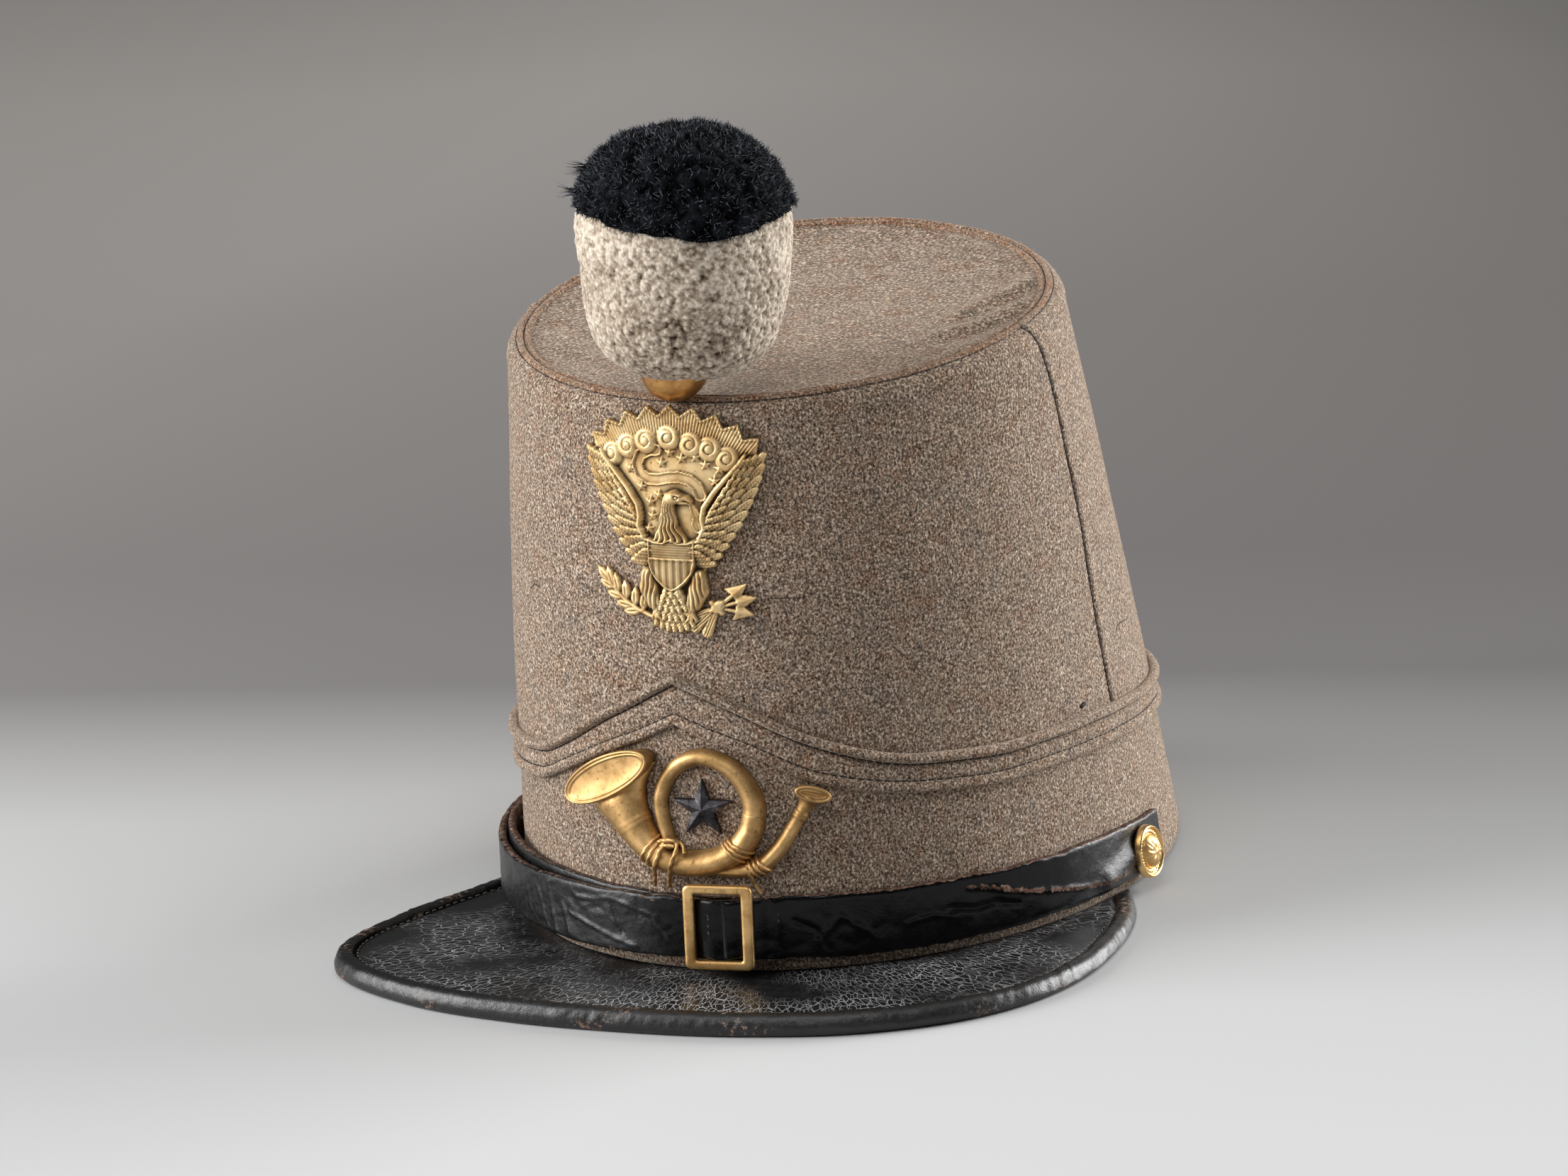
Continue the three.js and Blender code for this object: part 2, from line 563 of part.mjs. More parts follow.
function eaglePlate() {
  const back = GAP;
  const face = back + EAGLE.plate;
  const seatIn = face - 0.3;
  const onRay = (deg, reach) => [reach * Math.sin(radians(deg)), RAYS.centreY + reach * Math.cos(radians(deg))];
  const pitch = (2 * RAYS.halfDeg) / (RAYS.count - 1);
  const tips = Array.from({ length: RAYS.count }, (_, i) => RAYS.halfDeg - i * pitch);
  const crest = tips.flatMap((deg, i) => [
    onRay(deg, RAYS.radius),
    ...(i < RAYS.count - 1 ? [onRay(deg - pitch / 2, RAYS.radius - RAYS.valley)] : []),
  ]);
  const outline = [...crest, ...mirrored(WING_EDGE), [-7.6, 13.2], [-6.6, 6.4], [-4.2, 1.4], [0, 0]];
  const right = [[4.2, 1.4], [6.6, 6.4], [7.6, 13.2], ...[...WING_EDGE].reverse()];
  const rays = tips.map((deg) => {
    const [inner, outer] = [onRay(deg, RAYS.radius - RAYS.length), onRay(deg, RAYS.radius - 0.5)];
    return ridge([[...inner, 2], [...outer, 0.5]], seatIn, 0.9, 0.8);
  });
  const shieldTop = [[-6.1, 22.8], [-2, 22], [0, 23], [2, 22], [6.1, 22.8]];
  const shield = [...shieldTop, [5.9, 17], [3.8, 12.6], [0, 9.8], [-3.8, 12.6], [-5.9, 17]];
  const stripes = [-3.9, -1.3, 1.3, 3.9].map((x) => {
    const foot = 12.4 + Math.abs(x) * 0.55;
    return ridge([[x, 17.6, 0.6], [x, foot, 0.6]], face + 1.6, 0.7);
  });
  const tail = [-24, -12, 0, 12, 24].map((deg) => {
    const tip = [9 * Math.sin(radians(deg)), 10 - 10 * Math.cos(radians(deg))];
    return ridge([[0, 10, 1.2], [tip[0] * 0.6, 4, 1.3], [...tip, 1]], seatIn, 1.5, 0.6);
  });
  const stem = [[-3, 2.6, 0.7], [-10.1, 4.6, 0.7], [-16.1, 8.4, 0.6], [-19.2, 12.4, 0.5]];
  const leaves = [[-8, 6.6, 40], [-11, 8.2, 42], [-14.2, 10.8, 50], [-13.4, 4.6, -20], [-17.6, 6.8, -8]].map(
    ([x, y, deg]) => {
      const reach = [-2.6 * Math.cos(radians(deg)), 2.6 * Math.sin(radians(deg))];
      return ridge([[x - reach[0], y - reach[1], 0.5], [x, y, 1.2], [x + reach[0], y + reach[1], 0.3]], back, 1.7);
    },
  );
  const arrowTips = [[18, 12], [20.2, 8.6], [19.6, 4.4]];
  const arrows = arrowTips.flatMap(([x, y]) => {
    const head = [[x - 3.2, y - (y - 6) * 0.4, 1.7], [x, y, 0.3]];
    return [ridge([[10.6, 6, 0.7], [x - 2.6, y - (y - 6) * 0.33, 0.6]], back, 1.6), ridge(head, back, 1.9)];
  });
  const fletching = [[3, 2.4], [5.4, 0.8], [8, 0.4]].map(([x, y]) =>
    ridge([[10.6, 6, 0.8], [x, y, 1.2]], back, 1.6),
  );
  const pieces = [
    slab([...outline, ...right], back, EAGLE.plate),
    ...rays,
    ...CLOUDS.map(([x, y]) => boss(x, y, seatIn, 2.9, 2.5, 2)),
    ridge(RIBBON.map(([x, y]) => [x, y, 1.5]), seatIn, 1, 1, 0.85),
    ...SKY_STARS.map(([x, y]) => new THREE.ConeGeometry(0.9, 1, 5).rotateX(Math.PI / 2).translate(x, y, face + 0.2)),
    ...wing(1, seatIn),
    ...wing(-1, seatIn),
    ridge([[0, 22, 4.6], [-0.6, 27, 2.4], [0.2, 31, 1.9], [1, 33.2, 1.9]], seatIn, 2.4, 1, 0.5),
    boss(1, 33, face + 0.6, 2.4, 1.9, 2),
    ridge([[2, 33.4, 1.1], [5, 32.2, 0.3]], seatIn, 2, 0.7),
    slab(shield, back, EAGLE.plate + 1.6),
    ...stripes,
    ridge([[-6, 18.2, 0.5], [6, 18.2, 0.5]], face + 1.3, 0.8),
    ...[-1, 1].map((side) => boss(side * 5.4, 10.4, face, 2.9, 4.8, 2)),
    ...tail,
    ridge(stem, back, 1.6),
    ...leaves,
    ...arrows,
    ...fletching,
    boss(10.6, 6, face, 2, 2, 1.6),
  ];
  return bend(shorten(struck(pieces, back), 9), EAGLE.arc, EAGLE.height);
}

// The hunting horn's tube, in arc and height on the wall, from the bell round its loop.
const HORN_BELL = [
  { arc: -18.2, height: 46.6, radius: 15.4 },
  { arc: -17.2, height: 43, radius: 9.8 },
  { arc: -13.1, height: 37.2, radius: 5.8 },
  { arc: -7.8, height: 30.6, radius: 4 },
  { arc: -2.4, height: 27.5, radius: 3.5 },
  { arc: 3, height: 26.9, radius: 3.4 },
  { arc: 9.6, height: 28, radius: 3.3 },
  { arc: 14.7, height: 30.8, radius: 3.2 },
  { arc: 18.2, height: 35.6, radius: 3 },
  { arc: 19.2, height: 40, radius: 2.9 },
];
const HORN_LOOP = [
  { arc: 18.8, height: 37.6, radius: 2.9 },
  { arc: 19.2, height: 42, radius: 2.8 },
  { arc: 17.1, height: 47.4, radius: 2.6 },
  { arc: 12.6, height: 52, radius: 2.4 },
  { arc: 6, height: 53.8, radius: 2.2 },
  { arc: -0.6, height: 50.4, radius: 2.2 },
  { arc: -4, height: 44, radius: 2.2 },
  { arc: -4, height: 38.6, radius: 2.1 },
  { arc: -1.9, height: 31, radius: 1.9 },
];
const HORN_PIPE = [
  { arc: 10, height: 25.4, radius: 1.5 },
  { arc: 16.4, height: 25.7, radius: 2 },
  { arc: 21, height: 27.3, radius: 2.2 },
  { arc: 24.8, height: 30.9, radius: 2.1 },
  { arc: 27.9, height: 35.7, radius: 1.9 },
  { arc: 30.6, height: 40.2, radius: 1.7 },
  { arc: 31.9, height: 42.4, radius: 2.2 },
  { arc: 32.7, height: 44, radius: 3.6 },
];
const HORN_MOUTHS = [
  { arc: -19.6, height: 48, half: 17, across: 4.4, deg: 28.7, face: 6.4 },
  { arc: 33.1, height: 45, half: 4.2, across: 1.9, deg: -17, face: 4.6 },
];
const HORN_CORDS = [
  [[-1.2, 32.6, 0.9], [-4.4, 27, 0.7], [-6.6, 21, 0.7]],
  [[0.6, 32.4, 0.9], [-1.4, 26, 0.7], [-2.6, 21, 0.7]],
  [[17.2, 28.6, 0.9], [18.2, 23.6, 0.7], [20.2, 20, 0.5]],
];

// A half-round tube with a flat back; a wide bell swells less than it spreads.
function tube(rows) {
  const path = new THREE.CatmullRomCurve3(rows.map(({ arc, height }) => point(arc, height, 0)));
  const arch = [[1, 0], [1, 0.4], [0.74, 0.84], [0, 1], [-0.74, 0.84], [-1, 0.4], [-1, 0]];
  const rings = rows.map(({ arc, height, radius }, i) => {
    const ahead = path.getTangent(i / (rows.length - 1));
    const swell = Math.min(1.45 * radius, 4.2 + 0.16 * radius);
    return arch.map(([side, up]) =>
      point(arc - side * radius * ahead.y, height + side * radius * ahead.x, HORN_BACK + up * swell),
    );
  });
  return loft(rings);
}

// A bell's mouth: a raised lip round a shallow dish.
function hornMouth({ arc, height, half, across, deg, face }) {
  const ellipse = (path, inset) => path.absellipse(0, 0, half - inset, across - inset, 0, 2 * Math.PI, false, 0);
  const dish = new THREE.Shape();
  ellipse(dish, 0.2);
  const lip = new THREE.Shape();
  ellipse(lip, 0);
  const inside = new THREE.Path();
  lip.holes.push(ellipse(inside, 0.9));
  const parts = [[dish, face - 0.8], [lip, face]].map(([outline, depth]) => {
    const plate = new THREE.ExtrudeGeometry(outline, { depth, bevelEnabled: false, curveSegments: 7 });
    return plate.rotateZ(radians(deg)).translate(arc, height, HORN_BACK);
  });
  return fuse(parts);
}

function hornBadge() {
  const tubes = [HORN_BELL, HORN_LOOP, HORN_PIPE].map(tube);
  const cords = HORN_CORDS.map((points) => ridge(points, HORN_BACK, 1.6, 0.7));
  const knot = boss(-0.4, 32.4, 2.6, 2.2, 1.9, 2.2);
  const pieces = [...tubes, ...HORN_MOUTHS.map(hornMouth), ...cords, knot];
  return bend(shorten(struck(pieces, HORN_BACK), 9), 0, 0);
}

function badgeStar() {
  const corners = Array.from({ length: 10 }, (_, i) => {
    const reach = i % 2 ? STAR.waist : STAR.radius;
    const bearing = Math.PI / 2 + (i * Math.PI) / 5;
    return [reach * Math.cos(bearing), reach * Math.sin(bearing)];
  });
  return bend(shorten(slab(corners, GAP, STAR.thick), 6), STAR.arc, STAR.height);
}

// Pompom and its cup

// The crown's upper outside, grown by a clearance, to cut the cup that sits over its edge.
function crownEnvelope(clear) {
  const rows = [[SHOULDER.grow, 20], [SHOULDER.grow, SHOULDER.drop], [3.9, 1.9], [2.2, 0.5], [2, -0.9], [1.2, -1.7]];
  const rings = rows.map(([grow, drop]) => stations.map((angle) => onOval(TOP, angle, grow + clear, drop - clear)));
  return loft(rings);
}

function pompomCup() {
  const { y, z, radius } = CUP;
  const bowl = [[0, -1], [0.4, -0.92], [0.75, -0.66], [0.95, -0.3], [1, 0], [0.85, 0.03], [0, 0.03]];
  const profile = bowl.map(([r, up]) => new THREE.Vector2(r * radius, up * radius));
  const lathe = new THREE.LatheGeometry(profile, 20).rotateX(Math.PI / 2).translate(0, y, z);
  return geometryOf(solid(lathe).subtract(solid(crownEnvelope(GAP))));
}

// One tuft of wool for each lock, fused to a barrel-shaped head, then parted where the colour changes.
function pompom(isCap) {
  const foot = point(...POMPOM.foot);
  const head = point(...POMPOM.head);
  const tall = foot.distanceTo(head);
  const radius = reader(POMPOM_PROFILE, "along", "radius");
  const core = [[0, 0], ...POMPOM_PROFILE.map((row) => [Math.max(row.radius - 2, 1), row.along]), [0, tall]];
  const parts = [new THREE.LatheGeometry(core.map(([r, up]) => new THREE.Vector2(r, up)), 14).rotateX(Math.PI / 2)];
  const golden = Math.PI * (3 - Math.sqrt(5));
  for (let i = 0; i < POMPOM.locks; i += 1) {
    const along = 3.5 + ((tall - 6) * (i + 0.5)) / POMPOM.locks;
    if (along > POMPOM.split !== isCap) continue;
    const reach = radius(along) - LOCK.sunk;
    const lock = new THREE.IcosahedronGeometry(LOCK.radius, 0).rotateY(i).scale(1, 1, LOCK.flat + 0.2 * (i % 3));
    parts.push(lock.rotateZ(i * golden).translate(reach * Math.cos(i * golden), reach * Math.sin(i * golden), along));
  }
  const from = isCap ? POMPOM.split + GAP : 0;
  const upTo = isCap ? tall + LOCK.radius : POMPOM.split;
  const slice = new THREE.BoxGeometry(90, 90, upTo - from).translate(0, 0, (from + upTo) / 2);
  const cut = geometryOf(solid(fuse(parts)).intersect(solid(slice)));
  const lean = new THREE.Quaternion().setFromUnitVectors(point(0, 0, 1), head.clone().sub(foot).normalize());
  return cut.applyQuaternion(lean).translate(foot.x, foot.y, foot.z);
}

// The assembly

const FINISHES = {
  wool: { color: 0x7d7064, roughness: 0.95, metalness: 0 },
  piping: { color: 0x7c6651, roughness: 0.95, metalness: 0 },
  visorLeather: { color: 0x1d1d20, roughness: 0.5, metalness: 0 },
  strapLeather: { color: 0x141417, roughness: 0.35, metalness: 0 },
  brass: { color: 0xa98748, roughness: 0.45, metalness: 1 },
  gilt: { color: 0xd9a63f, roughness: 0.3, metalness: 1 },
  pewter: { color: 0x565a60, roughness: 0.5, metalness: 1 },
  blackWool: { color: 0x14151b, roughness: 1, metalness: 0 },
  greyWool: { color: 0xaca294, roughness: 1, metalness: 0 },
};

const shako = new THREE.Group();

function add(name, finish, geometry) {
  const mesh = new THREE.Mesh(geometry, new THREE.MeshStandardMaterial(FINISHES[finish]));
  mesh.name = name;
  geometry.computeVertexNormals();
  shako.add(mesh);
}

add("crown_side", "wool", crownSide());
add("crown_top", "wool", crownTop());
add("top_welt", "piping", topWelt());
add("side_seam_left", "wool", sideSeam(1));
add("side_seam_right", "wool", sideSeam(-1));
add("band", "piping", band());
add("visor", "visorLeather", visorPlate());
add("visor_binding", "visorLeather", visorBinding());
add("strap_front", "strapLeather", strap(STRAP_FRONT));
add("strap_under", "strapLeather", strap(STRAP_UNDER));
add("buckle", "brass", buckle());
add("button_left", "gilt", button(1, 0.5));
add("button_right", "gilt", button(-1, 2.7));
add("eagle_plate", "brass", eaglePlate());
add("horn_badge", "brass", hornBadge());
add("badge_star", "pewter", badgeStar());
add("pompom_cup", "gilt", pompomCup());
add("pompom_body", "greyWool", pompom(false));
add("pompom_cap", "blackWool", pompom(true));

// The origin is under the middle of the whole hat, on the surface that it rests on.
const box = new THREE.Box3().setFromObject(shako);
const middle = box.getCenter(point());
shako.position.set(-middle.x, -middle.y, -box.min.z);

const part = new THREE.Group();
part.add(shako);

export default part;
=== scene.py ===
# %% [markdown]
# # A shako, dressed over its solids
# The object is a militia shako: a tapered cap of grey-brown wool with a sunken top, a flat leather visor,
# a buckled chin strap, two struck brass badges and a two-coloured wool pompom. Its solids come in first,
# in metres, as a fixed frame. Every piece below is set on that frame and stands for one or more of the
# solids.

# %% Load the solids
import math
from functools import partial

import bpy
import numpy as np
from mathutils import Matrix, Vector


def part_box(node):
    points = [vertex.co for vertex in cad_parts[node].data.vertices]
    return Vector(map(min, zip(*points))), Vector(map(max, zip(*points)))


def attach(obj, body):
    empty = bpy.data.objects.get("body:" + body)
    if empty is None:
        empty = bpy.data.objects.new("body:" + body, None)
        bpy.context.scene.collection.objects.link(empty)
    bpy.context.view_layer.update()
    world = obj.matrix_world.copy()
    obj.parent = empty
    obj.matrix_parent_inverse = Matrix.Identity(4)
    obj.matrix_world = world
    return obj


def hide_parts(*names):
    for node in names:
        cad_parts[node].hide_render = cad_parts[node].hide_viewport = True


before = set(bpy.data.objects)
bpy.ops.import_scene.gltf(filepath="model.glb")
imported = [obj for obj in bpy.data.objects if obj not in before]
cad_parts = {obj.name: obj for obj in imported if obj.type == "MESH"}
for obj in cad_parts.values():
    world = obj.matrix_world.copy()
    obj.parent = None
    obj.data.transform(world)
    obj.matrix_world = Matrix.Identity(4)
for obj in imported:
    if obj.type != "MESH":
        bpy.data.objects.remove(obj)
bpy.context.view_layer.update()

# %% [markdown]
# ## One ruler and one viewpoint
# All sizes below are millimetres on the hat: x to the wearer's left, y to the back, z up, measured from
# the middle of the rim oval. One function turns them into metres in the frame. The camera is a long lens,
# so the ovals stay nearly parallel. It could be aimed with a constraint, but a matrix built from its
# three axes also holds the small roll that the viewpoint has.

# %% Camera
MM = 0.001
rim_low, rim_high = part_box("crown_side")
RIM_MIDDLE = np.array([(rim_low.x + rim_high.x) / 2, (rim_low.y + rim_high.y) / 2, 0]) / MM


def to_row(points):
    """Millimetres from the middle of the rim, as metres in the frame."""
    return (np.asarray(points, float) + RIM_MIDDLE) * MM


VIEW = {"azimuth": 25.63, "elevation": 15.05, "roll": -3.46, "distance": 1800, "right": -18.9, "up": 70.4}
IMAGE_WIDTH = 2212
FOCAL_PIXELS = 9833
SENSOR = 36

scene = bpy.context.scene
azimuth, elevation, roll = (math.radians(VIEW[name]) for name in ("azimuth", "elevation", "roll"))
view_back = Vector((math.sin(azimuth) * math.cos(elevation), -math.cos(azimuth) * math.cos(elevation),
                    math.sin(elevation)))
level_right = Vector((math.cos(azimuth), math.sin(azimuth), 0))
away = Vector((-math.sin(azimuth), math.cos(azimuth), 0))
level_up = view_back.cross(level_right)
view_right = math.cos(roll) * level_right + math.sin(roll) * level_up
view_up = math.cos(roll) * level_up - math.sin(roll) * level_right
eye = view_back * VIEW["distance"] + view_right * VIEW["right"] + view_up * VIEW["up"]

camera = bpy.data.objects.new("camera", bpy.data.cameras.new("camera"))
camera.data.lens = SENSOR * FOCAL_PIXELS / IMAGE_WIDTH
camera.data.sensor_width = SENSOR
camera.data.clip_end = 100
facing = Matrix((view_right, view_up, view_back)).transposed().to_4x4()
camera.matrix_world = Matrix.Translation(to_row(eye)) @ facing
scene.collection.objects.link(camera)
scene.camera = camera
print("lens in mm:", round(camera.data.lens, 1))

# %% [markdown]
# ## Colours and nodes
# Colours are written as sRGB hex values, as a paint chart gives them, and one function turns them into
# the linear numbers that shaders use. One more function adds a node: its keywords are the node's own
# settings, and its inputs are plain values, another node's output, or a whole node, whose first output in
# use it links. Shader nodes go by their short type, such as TexNoise for ShaderNodeTexNoise. The last
# function makes a short table out of the names of its columns and its rows.

# %% Helpers for materials
def linear(code):
    """An sRGB hex colour as linear RGBA."""
    channels = [int(code[i:i + 2], 16) / 255 for i in (1, 3, 5)]
    return [c / 12.92 if c <= 0.04045 else ((c + 0.055) / 1.055) ** 2.4 for c in channels] + [1.0]


def set_inputs(node, inputs):
    """Gives inputs plain values or links; a whole node as a value stands for its first output in use."""
    for name, value in inputs.items():
        if isinstance(value, bpy.types.Node):
            value = next(output for output in value.outputs if output.enabled)
        if isinstance(value, bpy.types.NodeSocket):
            node.id_data.links.new(value, node.inputs[name])
        else:
            node.inputs[name].default_value = value


def add_node(tree, kind, inputs=None, stops=None, **settings):
    """Adds one node with its settings, its colour stops if it is a ramp, and its inputs."""
    node = tree.nodes.new(kind if "Node" in kind else "ShaderNode" + kind)
    for name, value in settings.items():
        setattr(node, name, value)
    for i, (place, code) in enumerate(stops or []):
        elements = node.color_ramp.elements
        if i >= len(elements):
            elements.new(1.0)
        elements[i].position = place
        elements[i].color = linear(code)
    set_inputs(node, inputs or {})
    return node


def new_material(name, **surface):
    """A material, a function that adds nodes to it, and its shader with its constant values set."""
    material = bpy.data.materials.new(name)
    material.use_nodes = True
    shader = material.node_tree.nodes["Principled BSDF"]
    for key, value in surface.items():
        shader.inputs[key.replace("_", " ").title().replace("Ior", "IOR")].default_value = value
    return material, partial(add_node, material.node_tree), shader


def per_mm(size):
    """The scale of a texture whose marks are this many millimetres across."""
    return 1 / (size * MM)


def table(columns, *rows):
    """A short table: the names of its columns, then its rows."""
    return [dict(zip(columns.split(), row)) for row in rows]


# %% [markdown]
# ## A paper floor and soft light
# The hat stands on pale studio paper. Two wide side lights rake its cloth, an overhead light fills its
# top, and the front stays a little darker, so the wall reads as round. The paper's colour itself turns
# greyer away from the camera and darker to the right: this is painted falloff of light. A wall behind
# would stand in the way of the other views.

# %% Floor, light and world
FLOOR_SIZE = 24.0
PAPER_TURN = math.radians(9)
PAPER_NEAR = -0.25
PAPER_FAR = 1.15
# painted falloff of light: the far paper is coloured darker to the right
FALLOFF_SIDES = 2.6  # how fast the far paper darkens to the right
PAPER_REACH = 0.22  # and how far aside that goes on
PAINTED_FALLOFF_TONES = [(0.03, "#bfbfc0"), (0.14, "#b8b9b9"), (0.22, "#a1a1a0"), (0.27, "#888786"),
               (0.315, "#696766"), (0.41, "#646160"), (0.64, "#6b6866"), (0.94, "#7b7875")]

paper, node, shader = new_material("paper_painted_falloff", roughness=0.75, specular_ior_level=0.25)
place = node("TexCoord").outputs["Object"]
turned = node("Mapping", {"Vector": place, "Rotation": (0, 0, PAPER_TURN - azimuth)})
depth = node("SeparateXYZ", {"Vector": turned})
share = node("MapRange", {"Value": depth.outputs["Y"], "From Min": PAPER_NEAR, "From Max": PAPER_FAR})
# painted falloff of light: the paper's tone darkens away from the camera and to the right
tone = node("ValToRGB", {"Fac": share}, PAINTED_FALLOFF_TONES)
sideways = node("Math", {0: depth.outputs["X"], 1: share}, operation="MULTIPLY")
fall = node("MapRange", {"Value": sideways, "From Min": -PAPER_REACH, "From Max": PAPER_REACH,
                         "To Min": 1 + PAPER_REACH * FALLOFF_SIDES, "To Max": 1 - PAPER_REACH * FALLOFF_SIDES})
toned = node("VectorMath", {0: tone, "Scale": fall}, operation="SCALE")
set_inputs(shader, {"Base Color": toned})

half = FLOOR_SIZE / 2
floor_mesh = bpy.data.meshes.new("floor")
corners = [(-half, -half, 0), (half, -half, 0), (half, half, 0), (-half, half, 0)]
floor_mesh.from_pydata(corners, [], [(0, 1, 2, 3)])
floor_mesh.materials.append(paper)
floor = bpy.data.objects.new("floor", floor_mesh)
scene.collection.objects.link(floor)

LIGHTS = table(
    "name right away up size watts",
    ("left_softbox", -1.58, -0.18, 0.7, 1.1, 43), ("right_softbox", 1.5, 0.6, 0.54, 1.2, 57),
    ("overhead_softbox", -0.1, 0.1, 1.7, 1.5, 4), ("front_softbox", -0.2, -1.2, 1.7, 1.2, 12.5),
)
LIGHT_TARGET = Vector((0, 0, 0.08))
for row in LIGHTS:
    lamp = bpy.data.lights.new(row["name"], "AREA")
    lamp.size = row["size"]
    lamp.energy = row["watts"]
    source = bpy.data.objects.new(row["name"], lamp)
    source.location = level_right * row["right"] + away * row["away"] + Vector((0, 0, row["up"]))
    source.rotation_euler = (LIGHT_TARGET - source.location).to_track_quat("-Z", "Y").to_euler()
    scene.collection.objects.link(source)

world = bpy.data.worlds.new("studio")
world.use_nodes = True
set_inputs(world.node_tree.nodes["Background"], {"Color": linear("#c9c8c6"), "Strength": 0.18})
scene.world = world
scene.view_settings.view_transform = "Standard"
print("lights:", [row["name"] for row in LIGHTS])

# %% [markdown]
# ## The shape of the crown
# The crown runs from a large rim oval to a smaller, rounder top oval that tips forward. Anything on its
# wall is easiest to place by how far it lies round from the front and how high it lies up the wall, as a
# hatter would measure with a tape. These functions turn such a place, and a stand-off, into a point. They
# work on whole arrays, so a grid of thousands of points is one call.

# %% Wall functions
RIM = {"half_width": 80.1, "half_length": 102.0, "y": 0.0, "z": 2.0, "tilt": -1.1}
TOP = {"half_width": 65.3, "half_length": 66.5, "y": -23.8, "z": 152.2, "tilt": 6.3}
SHOULDER_GROW = 4.8
SHOULDER_DROP = 5.0
SHOULDER_INNER = 0.6  # how far outside the top oval the shoulder ends
WALL_BULGE = 0.8
CLOTH = 2.2


def unit(vectors):
    return vectors / np.linalg.norm(vectors, axis=-1, keepdims=True)


def on_oval(oval, angle, grow=0.0, drop=0.0):
    """Points of an oval: angle 0 is the front and a right angle is the wearer's left."""
    tilt = math.radians(oval["tilt"])
    along = -(oval["half_length"] + grow) * np.cos(angle)
    x = (oval["half_width"] + grow) * np.sin(angle)
    y = oval["y"] + along * math.cos(tilt) + drop * math.sin(tilt)
    z = oval["z"] + along * math.sin(tilt) - drop * math.cos(tilt)
    return np.stack(np.broadcast_arrays(x, y, z), axis=-1)


def wall_foot(angle):
    return on_oval(RIM, angle)


def wall_head(angle):
    return on_oval(TOP, angle, SHOULDER_GROW, SHOULDER_DROP)


def slant(angle):
    return np.linalg.norm(wall_head(angle) - wall_foot(angle), axis=-1)


def straight_wall(angle, share):
    return wall_foot(angle) + (wall_head(angle) - wall_foot(angle)) * np.asarray(share)[..., None]


def wall_frame(angle, share):
    """The wall's outside, and the directions round it, up it and out of it."""
    angle, share = np.broadcast_arrays(np.asarray(angle, float), np.asarray(share, float))
    turn = 1e-3
    along = unit(straight_wall(angle + turn, share) - straight_wall(angle - turn, share))
    upward = unit(wall_head(angle) - wall_foot(angle))
    outward = unit(np.cross(along, upward))
    origin = straight_wall(angle, share) + outward * (4 * WALL_BULGE * share * (1 - share))[..., None]
    return origin, along, upward, outward


def off_wall(angle, height, off):
    origin, _, _, outward = wall_frame(angle, height / slant(angle))
    return origin + outward * np.asarray(off)[..., None]


def run_along(points):
    """How far along a line each of its points lies, from 0 at its start."""
    return np.concatenate([[0], np.cumsum(np.linalg.norm(np.diff(points, axis=0), axis=1))])


TAPE_ANGLES = np.radians(np.arange(0, 181))
TAPE_STEP = 4.0
TAPE_LEVELS = np.arange(-8, 168, TAPE_STEP)
tape = [run_along(straight_wall(TAPE_ANGLES, level / slant(TAPE_ANGLES))) for level in TAPE_LEVELS]


def angle_at(arc, height):
    """The angle at which a tape laid round the wall at one height reaches an arc from the front."""
    arc, height = np.broadcast_arrays(np.asarray(arc, float), np.asarray(height, float))
    below = np.clip(((height - TAPE_LEVELS[0]) // TAPE_STEP).astype(int), 0, len(TAPE_LEVELS) - 2)
    angle = np.empty(arc.shape)
    for i in np.unique(below):
        here = below == i
        part = (height[here] - TAPE_LEVELS[i]) / TAPE_STEP
        lower, upper = (np.interp(np.abs(arc[here]), tape[k], TAPE_ANGLES) for k in (i, i + 1))
        angle[here] = lower + (upper - lower) * part
    return np.sign(arc) * angle


def on_wall(arc, height, off):
    return off_wall(angle_at(arc, height), np.asarray(height, float), off)


def half_girth(height):
    """Half the way round the wall at one height."""
    return float(np.interp(height, TAPE_LEVELS, [row[-1] for row in tape]))


def table_curve(rows, along, column):
    """A smooth line through a short table, read at any place along it."""
    rows = sorted(rows, key=lambda row: row[along])
    places = np.array([row[along] for row in rows], float)
    values = np.array([row[column] for row in rows], float)
    ends = np.clip(np.arange(len(rows))[:, None] + [-1, 1], 0, len(rows) - 1)
    slopes = np.diff(values[ends], axis=1)[:, 0] / np.diff(places[ends], axis=1)[:, 0]

    def read(place):
        at = np.clip(place, places[0], places[-1])
        i = np.clip(np.searchsorted(places, at) - 1, 0, len(places) - 2)
        span = places[i + 1] - places[i]
        u = (at - places[i]) / span
        rise = values[i + 1] - values[i]
        bend = (1 - u) * (slopes[i] * span - rise) - u * (slopes[i + 1] * span - rise)
        return values[i] + rise * u + u * (1 - u) * bend

    return read


LATTICE = np.array([73856093, 19349663, 83492791])  # a large prime for each axis
SEED_STEP = 971
AXIS_STEP = 7919


def scattered(key):
    """A fixed number from 0 to 1 for each whole number, in no order that the eye could see."""
    return (np.sin(key % 100003 * 12.9898) * 43758.5453) % 1


def noise(points, size, seed):
    """Smooth noise from -1 to 1, whose lumps are about size across."""
    points = np.asarray(points, float) / size
    cell = np.floor(points).astype(np.int64)
    part = points - cell
    part = part * part * (3 - 2 * part)
    total = np.zeros(points.shape[:-1])
    for corner in np.ndindex(*(2,) * points.shape[-1]):
        value = scattered((cell + corner) @ LATTICE[:points.shape[-1]] + seed * SEED_STEP)
        total += (2 * value - 1) * np.prod(np.where(corner, part, 1 - part), axis=-1)
    return total


def layered(points, *layers):
    """Noises added up, each given by its depth, its size and its seed."""
    return sum(depth * noise(points, size, seed) for depth, size, seed in layers)


print("half girth at the rim in mm:", round(half_girth(0), 1))

